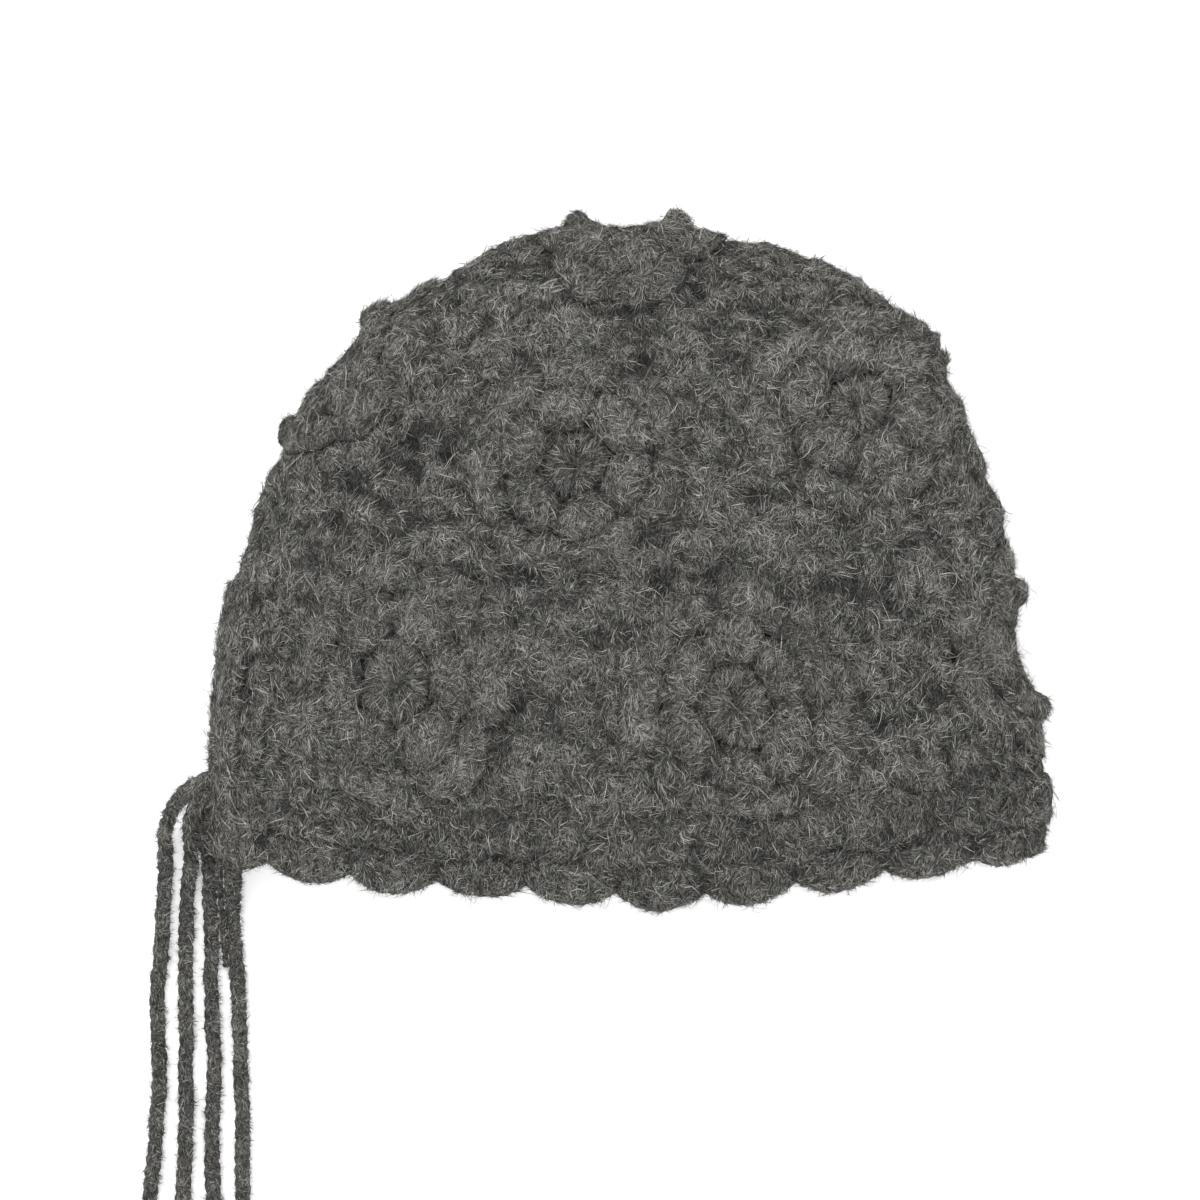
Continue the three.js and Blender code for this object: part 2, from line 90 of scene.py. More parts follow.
def scatter(a: Array, b: Array, seed: int) -> Array:
    """A repeatable number from 0 to 1 for each pair of whole numbers."""
    x = (a.astype(np.int64) * 73856093) ^ (b.astype(np.int64) * 19349663) ^ (seed * 83492791)
    x = ((x ^ (x >> 13)) * 1274126177) & 0x7FFFFFFF
    x = ((x ^ (x >> 15)) * 668265263) & 0x7FFFFFFF
    return ((x ^ (x >> 12)) & 0xFFFFFF) / float(0xFFFFFF)


def lumps(points: Array, size: float, seed: int = 0) -> Array:
    """Soft lumps of about `size` millimetres, from -1 to 1.

    Args:
        points: places in millimetres, one a row.
        size: how far apart the lumps are.
        seed: which set of lumps.

    Returns:
        One number for each place.
    """
    q = points / size
    cell = np.floor(q)
    part = q - cell
    part = part * part * (3.0 - 2.0 * part)
    base = cell.astype(np.int64)
    total = np.zeros(len(points))
    for dx in (0, 1):
        for dy in (0, 1):
            for dz in (0, 1):
                share = (
                    np.where(dx, part[:, 0], 1 - part[:, 0])
                    * np.where(dy, part[:, 1], 1 - part[:, 1])
                    * np.where(dz, part[:, 2], 1 - part[:, 2])
                )
                key = (base[:, 0] + dx) * 7919 + (base[:, 2] + dz) * 104729
                total += share * scatter(key, base[:, 1] + dy, seed)
    return 2.0 * total - 1.0


def stretches(curve: Array) -> Array:
    """The length between each of a curve's points and the next."""
    return np.linalg.norm(np.diff(curve, axis=0), axis=1)


def spread_evenly(curve: Array, count: int, weight: Array | None = None) -> Array:
    """Positions along a curve's samples that divide its length evenly.

    Args:
        curve: points along the curve.
        count: how many steps to take.
        weight: how much each stretch between two points counts for.

    Returns:
        count + 1 sample positions, from 0 to the last sample.
    """
    steps = stretches(curve)
    if weight is not None:
        steps = steps * weight
    length = np.concatenate([[0.0], np.cumsum(steps)])
    return np.interp(np.linspace(0.0, length[-1], count + 1), length, np.arange(len(curve)))


def spline(points: Array, samples: int) -> Array:
    """A smooth curve through a line's inner points.

    Args:
        points: the line, with one point more before its first and after its last.
        samples: how many points each span is given.

    Returns:
        The curve's points.
    """
    spans = len(points) - 3
    fine = []
    for k in range(spans):
        a, b, c, d = points[k : k + 4]
        t = np.linspace(0, 1, samples, endpoint=k == spans - 1)[:, None]
        linear, square, cube = c - a, 2 * a - 5 * b + 4 * c - d, 3 * b - a - 3 * c + d
        fine.append(0.5 * (2 * b + linear * t + square * t * t + cube * t**3))
    return np.concatenate(fine)


def divided(curve: Array, count: int) -> Array:
    """A curve's points, redrawn at count + 1 even places."""
    at = spread_evenly(curve, count)
    index = np.arange(len(curve))
    return np.stack([np.interp(at, index, axis) for axis in curve.T], axis=1)


# The bonnet's form.


@dataclass
class BonnetForm:
    """The form that every piece of cloth follows, first plain and then settled on its side."""

    fold_to_fold: float = 258.0
    crown_rise: float = 171.0
    band_height: float = 13.0
    edging_height: float = 13.0
    lobe_depth: float = 4.6
    scallops: int = 20
    upper_loft: float = 35.0
    lower_loft: float = 20.0
    wall: float = 5.0
    fold_power: float = 2.5
    crown_power: float = 2.5
    rim_slip_top: float = 13.5
    rim_slip_under: float = 8.0
    lip_droop_top: float = 7.0
    lip_droop_under: float = 1.5
    fold_droop: float = 5.0
    slit_droop: float = 5.0
    slit_length: float = 88.0
    slit_gap: float = 1.6
    edge_band_width: float = 7.5
    # up the crown, and the outline's share at the left and right folds
    outline: tuple[tuple[float, float, float], ...] = (
        (-0.16, 0.99, 0.995), (0.0, 1.0, 1.0), (0.29, 0.99, 0.935), (0.49, 0.955, 0.96),
        (0.7, 0.925, 0.97), (0.83, 0.895, 1.035), (0.9, 0.845, 1.0), (1.0, 0.81, 0.93),
    )
    # how far each scallop is drawn up, on top and underneath, from the left fold
    hem: tuple[tuple[float, float], ...] = (
        (1.0, 1.0), (0.2, 1.2), (1.0, 1.4), (2.4, 1.5), (1.6, 1.5), (0.1, 1.6), (0.3, 1.8), (2.9, 2.0),
        (2.9, 2.4), (2.6, 2.6),
    )
    # across, up, spread and depth of the top layer's soft hollows
    hollows: tuple[tuple[float, float, float, float], ...] = (
        (-0.42, 0.28, 46.0, 3.2), (0.18, 0.5, 40.0, 3.6), (0.66, 0.42, 34.0, 2.8),
        (-0.2, 0.84, 36.0, 3.0), (0.3, -0.02, 38.0, 2.6),
    )
    shift: Array = field(default_factory=lambda: np.zeros(3))

    @property
    def half_width(self) -> float:
        """Half the width from fold to fold."""
        return self.fold_to_fold / 2

    @property
    def hem_drop(self) -> float:
        """From the band's top edge down to the scallops' tips."""
        return self.band_height + self.edging_height

    def outside(self, p: Array) -> Array:
        """Above 0 outside the plain form and below 0 inside it."""
        loft = np.where(p[:, 2] > 0, self.upper_loft, self.lower_loft)
        level = np.maximum(p[:, 1], 0.0) / self.crown_rise
        ring = (
            np.abs(p[:, 0] / self.half_width) ** self.fold_power
            + np.abs(p[:, 2] / loft) ** self.fold_power
        )
        return ring ** (self.crown_power / self.fold_power) + level**self.crown_power - 1.0

    def outward(self, p: Array) -> Array:
        """The plain form's outward direction at each place."""
        slope = np.empty_like(p)
        for axis in range(3):
            step = np.zeros(3)
            step[axis] = 0.02
            slope[:, axis] = self.outside(p + step) - self.outside(p - step)
        return unit(slope)

    def onto(self, p: Array, passes: int = 4) -> Array:
        """The plain form's nearest places to `p`, found along the slope."""
        q = p.copy()
        for _ in range(passes):
            n = self.outward(q)
            here = self.outside(q)
            rate = (self.outside(q + 0.05 * n) - here) / 0.05
            q = q - n * (here / rate)[:, None]
        return q

    def point(self, turn: Array, climb: Array, inset: float = 0.0) -> Array:
        """Places on the plain form.

        Args:
            turn: 0 to 1 round the rim, from the left fold over the top layer.
            climb: 0 at the band's top edge to 1 at the crown's top, or below 0 in millimetres.
            inset: how far inside the form.

        Returns:
            One place for each pair.
        """
        angle = turn * TAU
        across = -power(np.cos(angle), 2 / self.fold_power)
        above = power(np.sin(angle), 2 / self.fold_power)
        bearing = np.clip(climb, 0.0, 1.0) * math.pi / 2
        girth = self.girth(climb)
        loft = np.where(above > 0, self.upper_loft, self.lower_loft) - inset
        rise = (self.crown_rise - inset) * np.sin(bearing) ** (2 / self.crown_power)
        return np.stack(
            [
                across * (self.half_width - inset) * girth,
                np.where(climb > 0, rise, climb),
                above * loft * girth,
            ],
            axis=1,
        )

    def girth(self, climb: Array) -> Array:
        """The round's size at a climb, as a share of the rim's."""
        bearing = np.clip(climb, 0.0, 1.0) * math.pi / 2
        return np.abs(np.cos(bearing)) ** (2 / self.crown_power)

    def climb_to(self, height: Array) -> Array:
        """The climb that point() takes for millimetres up from the band's top edge, or down."""
        share = np.clip(height / self.crown_rise, 0, 1) ** (self.crown_power / 2)
        return np.where(height > 0, np.arcsin(share) * 2 / math.pi, height)

    def _share(self, up: Array, column: int) -> Array:
        """The outline's share at a height, from one column of its table."""
        rows = np.array(self.outline)
        k = np.clip(np.searchsorted(rows[:, 0], up), 1, len(rows) - 1)
        low, high = rows[k - 1], rows[k]
        t = smooth((up - low[:, 0]) / (high[:, 0] - low[:, 0]))
        return low[:, column] + (high[:, column] - low[:, column]) * t

    def settle(self, p: Array) -> Array:
        """Where the settled cloth has the plain form's places."""
        up = p[:, 1] / self.crown_rise
        across = np.clip(p[:, 0] / self.half_width, -1.1, 1.1)
        rightward = smooth(across + 0.5)
        left, right = self._share(up, 1), self._share(up, 2)
        share = left + (right - left) * rightward
        near_rim = 1 - smooth((p[:, 1] + self.hem_drop) / (0.5 * self.crown_rise))
        middle = 1 - np.minimum(1.0, across * across)
        top = smooth(0.5 + p[:, 2] / (2 * self.lower_loft))
        slip = self.rim_slip_under + (self.rim_slip_top - self.rim_slip_under) * top
        droop = self.lip_droop_under + (self.lip_droop_top - self.lip_droop_under) * top
        corner = smooth((-across - 0.55) / 0.45) * near_rim
        z = (
            p[:, 2]
            - near_rim * middle * droop
            - self.fold_droop * across**4
            - self.slit_droop * corner
        )
        for dent_across, dent_up, spread, depth in self.hollows:
            dx = p[:, 0] - dent_across * self.half_width
            dy = p[:, 1] - dent_up * self.crown_rise
            z = z - top * depth * np.exp(-(dx * dx + dy * dy) / (spread * spread))
        return np.stack([p[:, 0] * share, p[:, 1] - near_rim * middle * slip, z], axis=1)

    def find_place(self) -> None:
        """Find the settled form's place in the frame, from the crown's own box."""
        turns, climbs = np.meshgrid(np.arange(38) / 38, 1 - np.arange(9) / 8)
        settled = self.settle(self.point(turns.ravel(), climbs.ravel()))
        low, high = (np.array(corner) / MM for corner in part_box("crown"))
        self.shift = np.array(
            [
                high[0] - settled[:, 0].max(),
                high[1] - settled[:, 1].max(),
                low[2] - settled[:, 2].min(),
            ]
        )
        LOG.info("form placed at %s mm", np.round(self.shift, 2))

    def hem_lift(self, share: Array) -> Array:
        """How far the hem is drawn up at a share of the rim's length."""
        rows = np.array(self.hem)
        at = (0.5 - np.abs(0.5 - share)) * 2 * len(rows) - 0.5
        top, under = (np.interp(at, np.arange(len(rows)), rows[:, k]) for k in range(2))
        return np.where(share < 0.5, top, under)

    def laid(self, p: Array, least: float = 0.05) -> Array:
        """Plain places as they lie in the frame, in metres, never under the surface."""
        q = self.settle(p) + self.shift
        q[:, 2] = np.maximum(q[:, 2], least)
        return q * MM

    def grown(self, p: Array, out: Array) -> Array:
        """Plain places moved outwards by `out` millimetres."""
        return p + self.outward(p) * out[:, None]


# Meshes.


def linked(name: str, data: bpy.types.ID) -> bpy.types.Object:
    """A new object in the scene."""
    made = bpy.data.objects.new(name, data)
    bpy.context.scene.collection.objects.link(made)
    return made


def as_mesh(bm: bmesh.types.BMesh, name: str) -> bpy.types.Mesh:
    """A new mesh from a bmesh, which is freed."""
    mesh = bpy.data.meshes.new(name)
    bm.to_mesh(mesh)
    bm.free()
    return mesh


def read(values: bpy.types.bpy_prop_collection, key: str, width: int, kind: type) -> Array:
    """One property of a mesh's elements, `width` numbers a row."""
    flat = np.empty(len(values) * width, dtype=kind)
    values.foreach_get(key, flat)
    return flat.reshape(-1, width)


def set_rise(mesh: bpy.types.Mesh, rise: Array) -> None:
    """Give a mesh the height that its colours follow; the wool paints its low places darker, as shade.
    """
    layer = mesh.attributes.new("rise", "FLOAT", "POINT")
    layer.data.foreach_set("value", rise.astype(np.float32))


def shade_smooth(mesh: bpy.types.Mesh) -> None:
    """Make all faces of a mesh smooth."""
    mesh.polygons.foreach_set("use_smooth", np.ones(len(mesh.polygons), dtype=bool))


def outward_faces(bm: bmesh.types.BMesh) -> None:
    """Turn a closed mesh's faces round if they point inwards."""
    if bm.calc_volume(signed=True) < 0:
        bmesh.ops.reverse_faces(bm, faces=bm.faces)


def net(name: str, columns: int, rows: int, place: Place) -> bpy.types.Mesh:
    """A closed net of cloth, laid out from a flat grid.

    Args:
        name: the mesh's name.
        columns: quads round the piece; its first and last columns meet.
        rows: quads along the piece.
        place: where each corner goes, and how high its stitch stands.

    Returns:
        The mesh, with a "rise" attribute that is 0 in the hollows and 1 on the crests; the wool is
        painted darker towards 0, as shade.
    """
    bm = bmesh.new()
    bmesh.ops.create_grid(bm, x_segments=columns, y_segments=rows, size=1.0)
    mesh = as_mesh(bm, name)
    flat = read(mesh.vertices, "co", 3, float)
    i = np.rint((flat[:, 0] + 1) / 2 * columns).astype(int)
    j = np.rint((flat[:, 1] + 1) / 2 * rows).astype(int)
    places, rise = place(i % columns, j)
    mesh.vertices.foreach_set("co", places.ravel())
    set_rise(mesh, rise)
    bm = bmesh.new()
    bm.from_mesh(mesh)
    bmesh.ops.remove_doubles(bm, verts=bm.verts, dist=WELD)
    bmesh.ops.dissolve_degenerate(bm, dist=1e-7, edges=bm.edges)
    outward_faces(bm)
    bm.to_mesh(mesh)
    bm.free()
    shade_smooth(mesh)
    mesh.update()
    return mesh


def closed_profile(points: Sequence[tuple[float, float]], rows: int, around: bool) -> Array:
    """A smooth line through a section's points.

    Args:
        points: the section, as (reach, out).
        rows: quads along it.
        around: True where the section closes on itself.

    Returns:
        rows + 1 points.
    """
    p = np.array(points, dtype=float)
    ring = np.concatenate([p[-1:], p, p[:2]]) if around else np.concatenate([p[:1], p, p[-1:]])
    return divided(spline(ring, SECTION_SAMPLES), rows)


def make_piece(name: str, mesh: bpy.types.Mesh) -> bpy.types.Object:
    """An object of the bonnet that lies still with the rest of it."""
    piece = linked(name, mesh)
    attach(piece, "root")
    return piece


# Stitches.


@dataclass
class Stitches:
    """Rows of plump crochet stitches, as a height."""

    row_height: float = 8.2
    stitch_width: float = 7.0
    jitter: float = 0.55
    seed: int = 1

    def height(self, turn: Array, up: Array, girth_at: Callable[[Array], Array]) -> Array:
        """How high the stitches stand.

        Args:
            turn: 0 to 1 round the rim.
            up: millimetres along the cloth from the rim.
            girth_at: the length round the cloth at a height along it.

        Returns:
            Heights from 0 in the gaps to 1 on the crests.
        """
        row = up / self.row_height
        best = np.zeros(len(turn))
        for beside in (-1, 0, 1):
            r = np.floor(row) + beside
            girth = girth_at((r + 0.5) * self.row_height)
            count = np.maximum(6, np.rint(girth / self.stitch_width))
            col = turn * count + 0.5 * (r % 2) + 0.6 * scatter(r, r * 0, 5)
            for next_to in (-1, 0, 1):
                c = np.floor(col) + next_to
                wrapped = c % count
                spot = [scatter(r, wrapped, self.seed + k) for k in range(4)]
                fx = 2 * (col - c - 0.5) + 2 * self.jitter * (spot[0] - 0.5)
                fy = 2 * (row - r - 0.5) + 2 * self.jitter * (spot[1] - 0.5)
                fx = fx + 1.4 * (spot[2] - 0.5) * fy
                dome = np.sqrt(np.maximum(0.0, 1 - 0.5 * fx * fx - 0.55 * fy * fy))
                best = np.maximum(best, dome * (0.62 + 0.38 * spot[3]))
        return best


# Shaders.


class Value:
    """A shader socket that sums, products and limits can be written with."""

    def __init__(self, shader: "Shader", socket: bpy.types.NodeSocket) -> None:
        """Wrap one output socket of a shader's tree."""
        self.shader = shader
        self.socket = socket

    def _math(self, operation: str, *others: "Value | float") -> "Value":
        """A Math node's result."""
        return self.shader.node(
            "ShaderNodeMath", {"operation": operation}, dict(enumerate([self, *others]))
        )

    def __add__(self, other: "Value | float") -> "Value":
        """The sum."""
        return self._math("ADD", other)

    __radd__ = __add__

    def __mul__(self, other: "Value | float") -> "Value":
        """The product."""
        return self._math("MULTIPLY", other)

    __rmul__ = __mul__

    def __sub__(self, other: "Value | float") -> "Value":
        """The difference."""
        return self._math("SUBTRACT", other)

    def __rsub__(self, other: float) -> "Value":
        """A number less this value."""
        return self * -1.0 + other

    def most(self, other: "Value") -> "Value":
        """The larger of two values."""
        return self._math("MAXIMUM", other)

    def between(self, low: float, high: float) -> "Value":
        """0 up to `low`, 1 from `high`, and a smooth step between them."""
        return self.shader.node(
            "ShaderNodeMapRange",
            {"interpolation_type": "SMOOTHSTEP"},
            {"Value": self, "From Min": low, "From Max": high},
        )


class Shader:
    """A material's nodes."""

    def __init__(self, name: str) -> None:
        """Start a material with its own surface shader."""
        self.material = bpy.data.materials.new(name)
        self.material.use_nodes = True
        self.tree = self.material.node_tree
        self.surface = self.tree.nodes["Principled BSDF"]

    def feed(self, node: bpy.types.Node, inputs: dict) -> None:
        """Set or link a node's input sockets."""
        for key, value in inputs.items():
            if isinstance(value, Value):
                self.tree.links.new(value.socket, node.inputs[key])
            else:
                node.inputs[key].default_value = value

    def node(self, kind: str, settings: dict, inputs: dict, output: int | str = 0) -> Value:
        """Add a node.

        Args:
            kind: the node's type.
            settings: its own properties.
            inputs: values or links of its sockets, by name or number.
            output: the socket to read.

        Returns:
            The output as a value.
        """
        node = self.tree.nodes.new(kind)
        for key, value in settings.items():
            setattr(node, key, value)
        self.feed(node, inputs)
        return Value(self, node.outputs[output])

    def mix(self, factor: "Value | float", a: object, b: object) -> Value:
        """A colour between a and b."""
        return self.node(
            "ShaderNodeMix", {"data_type": "RGBA"}, {0: factor, 6: a, 7: b}, output=2
        )


Colour = tuple[float, float, float, float]


def grey(level: float, brown: float = 0.0) -> Colour:
    """A wool grey, a little warmer than neutral, or browner still."""
    return (level * (1.015 + brown), level, level * (0.925 - 0.5 * brown), 1.0)


@dataclass(frozen=True)
class HeatherWool:
    """Brushed heather wool: painted shade in the crevices, and fine pale fibres that cross each other.
    """

    name: str
    # the colour painted into the crevices as their shade
    hollow: float = 0.025
    dark: float = 0.05
    pale: float = 0.3
    fibre_width: float = 0.45
    fibre_length: float = 3.4
    fleck: float = 0.15
    lays: tuple[tuple[float, float, float], ...] = (
        (0.2, 0.1, 0.3), (0.3, -0.2, 1.3), (-0.2, 0.3, 2.2), (1.2, 0.4, 0.8),
    )

    def hairs(self, shader: Shader, place: Value, lay: tuple[float, float, float]) -> Value:
        """Fine streaks that run one way."""
        across = 1 / (self.fibre_width * MM)
        along = 1 / (self.fibre_length * MM)
        turned = shader.node(
            "ShaderNodeMapping",
            {"vector_type": "POINT"},
            {"Vector": place, "Rotation": lay, "Scale": (across, along, across)},
        )
        return shader.node(
            "ShaderNodeTexNoise",
            {},
            {"Vector": turned, "Scale": 1.0, "Detail": 1.0, "Roughness": 0.5},
        )

    def make(self) -> bpy.types.Material:
        """Build the material."""
        shader = Shader(self.name)
        place = shader.node("ShaderNodeTexCoord", {}, {}, "Object")
        bend = shader.node(
            "ShaderNodeTexNoise", {}, {"Vector": place, "Scale": 210.0, "Detail": 1.0}, "Color"
        )
        bend = shader.node(
            "ShaderNodeVectorMath",
            {"operation": "SCALE"},
            {0: bend, "Scale": 5.0 * MM},
        )
        wavy = shader.node("ShaderNodeVectorMath", {"operation": "ADD"}, {0: place, 1: bend})
        hair = self.hairs(shader, wavy, self.lays[0])
        for lay in self.lays[1:]:
            hair = hair.most(self.hairs(shader, wavy, lay))
        hair = hair.between(0.54, 0.7)
        blotch = shader.node(
            "ShaderNodeTexNoise", {}, {"Vector": place, "Scale": 95.0, "Detail": 3.0}
        )
        # the stitch height darkens the ground towards the hollow colour in the low places and lets
        # fewer pale hairs show there: painted shade in the crevices
        rise = shader.node("ShaderNodeAttribute", {"attribute_name": "rise"}, {}, "Fac")
        depth = (rise * 0.85 + blotch * 0.3).between(0.12, 0.85)
        ground = shader.mix(depth, grey(self.hollow), grey(self.dark))
        crest = shader.mix(blotch.between(0.3, 0.75), grey(self.fleck), grey(self.pale))
        colour = shader.mix(hair * (depth * 0.7 + 0.3), ground, crest)
        height = hair * 0.6 + blotch * 0.4
        bump = shader.node(
            "ShaderNodeBump", {}, {"Strength": 0.5, "Distance": 0.5 * MM, "Height": height}, "Normal"
        )
        shader.feed(
            shader.surface,
            {"Base Color": colour, "Normal": bump, "Roughness": 0.92, "Specular IOR Level": 0.15},
        )
        return shader.material


@dataclass(frozen=True)
class FibreShade:
    """One shade of loose wool fibre."""

    name: str
    level: float
    brown: float

    def make(self) -> bpy.types.Material:
        """Build the material."""
        shader = Shader(self.name)
        shader.feed(
            shader.surface,
            {
                "Base Color": grey(self.level, self.brown),
                "Roughness": 0.8,
                "Specular IOR Level": 0.2,
            },
        )
        return shader.material


@dataclass(frozen=True)
class PaleFloor:
    """A plain white studio surface, lit from below so that shadows stay faint."""

    level: float = 0.86
    glow: float = 0.5

    def make(self) -> bpy.types.Material:
        """Build the material."""
        shader = Shader("studio_floor")
        place = shader.node("ShaderNodeTexCoord", {}, {}, "Object")
        grain = shader.node(
            "ShaderNodeTexNoise", {}, {"Vector": place, "Scale": 40.0, "Detail": 4.0}
        )
        low, high = (self.level - 0.01,) * 3 + (1.0,), (self.level + 0.01,) * 3 + (1.0,)
        shader.feed(
            shader.surface,
            {
                "Base Color": shader.mix(grain, low, high),
                "Roughness": 0.9,
                "Emission Color": (1.0, 1.0, 1.0, 1.0),
                "Emission Strength": self.glow,
            },
        )
        return shader.material


class Wool(Enum):
    """The bonnet's wool finishes, one for each kind of piece."""

    CROWN = "crown_wool"
    PETAL = "petal_wool"
    EDGING = "edging_wool"
    CORD = "cord_wool"


class Basket:
    """The made materials, ready to be put on pieces."""

    def __init__(self) -> None:
        """Make every finish once."""
        self.wool = {
            Wool.CROWN: HeatherWool("crown_wool_heather", hollow=0.015, dark=0.036).make(),
            Wool.PETAL: HeatherWool("petal_wool_heather", dark=0.055, pale=0.31).make(),
            # the edging's wool is toned darker than the crown's: painted shade along the band and
            # scallops at the bottom, which the slit strips share
            Wool.EDGING: HeatherWool("edging_wool_heather", hollow=0.015, dark=0.034, pale=0.26).make(),
            Wool.CORD: HeatherWool("cord_wool_heather", pale=0.28, fibre_length=2.4).make(),
        }
        shades = ((0.02, 0.0), (0.06, 0.5), (0.09, 0.0), (0.24, 0.0), (0.5, 0.0))
        self.fibres = [
            FibreShade(f"fibre_shade_{k}", *shade).make() for k, shade in enumerate(shades)
        ]


# Crown, band, scallops and slit edges.


@dataclass
class Body:
    """The crown with its plain band, scalloped edging and the slit's two edge strips."""

    form: BonnetForm
    basket: Basket
    stitches: Stitches = field(default_factory=Stitches)
    columns: int = 370
    crown_rows: int = 152
    inner_rows: int = 22
    band_rows: int = 28
    strip_rows: int = 30
    strip_length: int = 110
    under_share: float = 0.42
    rim_samples: int = 720
    climb_samples: int = 400
    measured_turn: float = 0.12
    cut_clearance: float = 0.1
    # the crown's rows of stitches are counted from this far under the band's top edge
    row_start: float = 200.0
    # the pits between the roses, sunk and painted darker as shade: across and up in millimetres, as
    # they lie
    pits: tuple[tuple[float, float], ...] = (
        (-67.3, 104.8), (-66.3, 96.4), (-55.8, 100.8), (-85.3, 91.1), (-76.0, 85.9), (-64.5, 80.6),
        (-89.6, 80.6), (-53.3, 80.6), (22.3, 151.0), (81.8, 53.9), (93.9, 25.7), (77.2, 17.4),
        (10.0, 60.0), (40.0, 88.0), (-20.0, 70.0), (5.0, 130.0), (60.0, 60.0), (-35.0, 22.0),
    )

    def __post_init__(self) -> None:
        """Measure the form once for all pieces."""
        form = self.form
        fine = np.arange(self.rim_samples + 1) / self.rim_samples
        rim = form.point(fine, np.zeros(len(fine)))
        under = np.where(fine[:-1] < 0.5, 1.0, self.under_share)
        self.turns = spread_evenly(rim, self.columns, under)[:-1] / self.rim_samples
        self.rim_length = float(stretches(rim).sum())
        climb = np.arange(self.climb_samples + 1) / self.climb_samples
        side = form.point(np.full(len(climb), self.measured_turn), climb)
        self.climb_at = spread_evenly(side, self.crown_rows) / self.climb_samples
        self.up_table = (climb, np.concatenate([[0.0], np.cumsum(stretches(side))]))
        self.share_table = (spread_evenly(rim, self.rim_samples) / self.rim_samples, fine)

    def girth_at(self, up: Array) -> Array:
        """The length round the crown at a height along the cloth."""
        climb = np.interp(up, self.up_table[1], self.up_table[0])
        return self.rim_length * self.form.girth(climb)

    def ground(self, turn: Array, climb: Array, plain: Array) -> tuple[Array, Array]:
        """The crown's relief.

        Args:
            turn: 0 to 1 round the rim.
            climb: 0 to 1 up the crown.
            plain: the same places on the plain form.

        Returns:
            Millimetres outwards, and the height from 0 to 1 that colours follow.
        """
        up = np.interp(climb, *self.up_table)
        wander = 4.6 * lumps(plain, 19.0, 31) + 1.4 * lumps(plain, 7.5, 36)
        sway = 0.009 * lumps(plain, 14.0, 32)
        stitch = self.stitches.height(turn + sway, up + wander + self.row_start, self._girth_shifted)
        knots = np.abs(lumps(plain, 4.6, 33))
        soft = lumps(plain, 12.0, 34)
        pebble = lumps(plain, 2.6, 35)
        seen = self.form.settle(plain)
        hole = np.zeros(len(plain))
        for x, y in self.pits:
            d2 = (seen[:, 0] - x) ** 2 + (seen[:, 1] - y) ** 2
            hole = np.maximum(hole, np.exp(-d2 / 9.0) * (plain[:, 2] > 0))
        deep = smooth((stitch - 0.35) / 0.6)
        # the pits and the gaps between stitches get a low height, which the wool paints darker: painted
        # shade
        rise = np.clip(0.6 * deep + 0.3 * knots + 0.15 * pebble + 0.1 * soft + 0.1 - 0.6 * hole, 0, 1)
        out = 2.8 * rise - 1.7 + 1.2 * soft - 2.4 * hole
        return out, rise

    def place_at(self, turn: Array, up: Array) -> Array:
        """Places on the plain form, millimetres of cloth up from the band's top edge, or down."""
        climb = np.interp(up, self.up_table[1], self.up_table[0])
        return self.form.point(turn, np.where(up > 0, climb, up))

    def _girth_shifted(self, up: Array) -> Array:
        """The length round the crown, for heights counted from the rows' start."""
        return self.girth_at(np.clip(up - self.row_start, 0.0, self.up_table[1][-1]))

    def crown(self) -> bpy.types.Mesh:
        """The hollow crown, with stitches outside and a plainer face inside."""
        form = self.form
        outer, inner = self.crown_rows, self.inner_rows
        rows = outer + inner + 2

        def place(i: Array, j: Array) -> tuple[Array, Array]:
            turn = self.turns[i]
            outside = j <= outer
            climb_out = self.climb_at[::-1][np.clip(j, 0, outer)]
            steps = np.linspace(0, 1, inner + 1)
            climb_in = steps[np.clip(j - outer - 2, 0, inner)]
            climb = np.where(outside, climb_out, np.where(j == outer + 1, 0.0, climb_in))
            plain = form.point(turn, climb)
            out, rise = self.ground(turn, climb, plain)
            fade = smooth(np.interp(climb, *self.up_table) / 2.0)
            out = np.where(outside, out * (0.6 + 0.4 * fade) - 0.1 * (1 - fade), 0.0)
            pole = climb > 0.9995
            out = np.where(pole, 0.4, out)
            proud = form.grown(plain, out)
            proud[pole] = [0.0, form.crown_rise + 0.4, 0.0]
            within = form.point(turn, climb, form.wall)
            ribs = 0.7 * np.abs(np.sin(np.interp(climb, *self.up_table) * math.pi / 6.4))
            within = within - form.outward(plain) * ribs[:, None] * (~pole)[:, None]
            halfway = form.point(turn, np.zeros(len(turn)) + 0.001, form.wall / 2)
            spots = np.where(outside[:, None], proud, within)
            spots = np.where((j == outer + 1)[:, None], halfway, spots)
            return form.laid(spots, 0.3), np.where(outside, rise, INSIDE_RISE)

        return net("crown_skin", self.columns, rows, place)

    def _lobe(self, turn: Array) -> tuple[Array, Array, Array]:
        """Where a turn lies in its scallop, from -1 to 1, the scallop's number, and the share."""
        share = np.interp(turn, *self.share_table)
        at = share * self.form.scallops
        return 2 * (at % 1) - 1, np.floor(at), share

    def near_right_fold(self, plain: Array) -> Array:
        """1 at the right fold and 0 away from it."""
        return smooth((plain[:, 0] / self.form.half_width - 0.9) / 0.08)

    def hem_wander(self, plain: Array) -> Array:
        """How the rounds at the rim wander up and down, from -1 to 1."""
        return 0.7 * lumps(plain * [1.0, 0.0, 1.0], 6.5, 45) + 0.5 * lumps(plain, 3.4, 46)

    def band(self) -> bpy.types.Mesh:
        """The plain rows between the roses and the scallops."""
        form = self.form
        section = closed_profile(
            [
                (2.2, -1.9), (1.9, -0.2), (-0.2, 0.7), (-3.4, 0.8), (-6.6, 0.5), (-9.8, 0.8),
                (-12.6, 0.5), (-13.3, -1.4), (-12.7, -4.4), (-9.0, -5.2), (-4.0, -5.2), (-0.6, -5.1),
                (1.0, -4.2),
            ],
            self.band_rows,
            True,
        )
        rows = Stitches(row_height=6.6, stitch_width=6.4, jitter=0.5, seed=60)

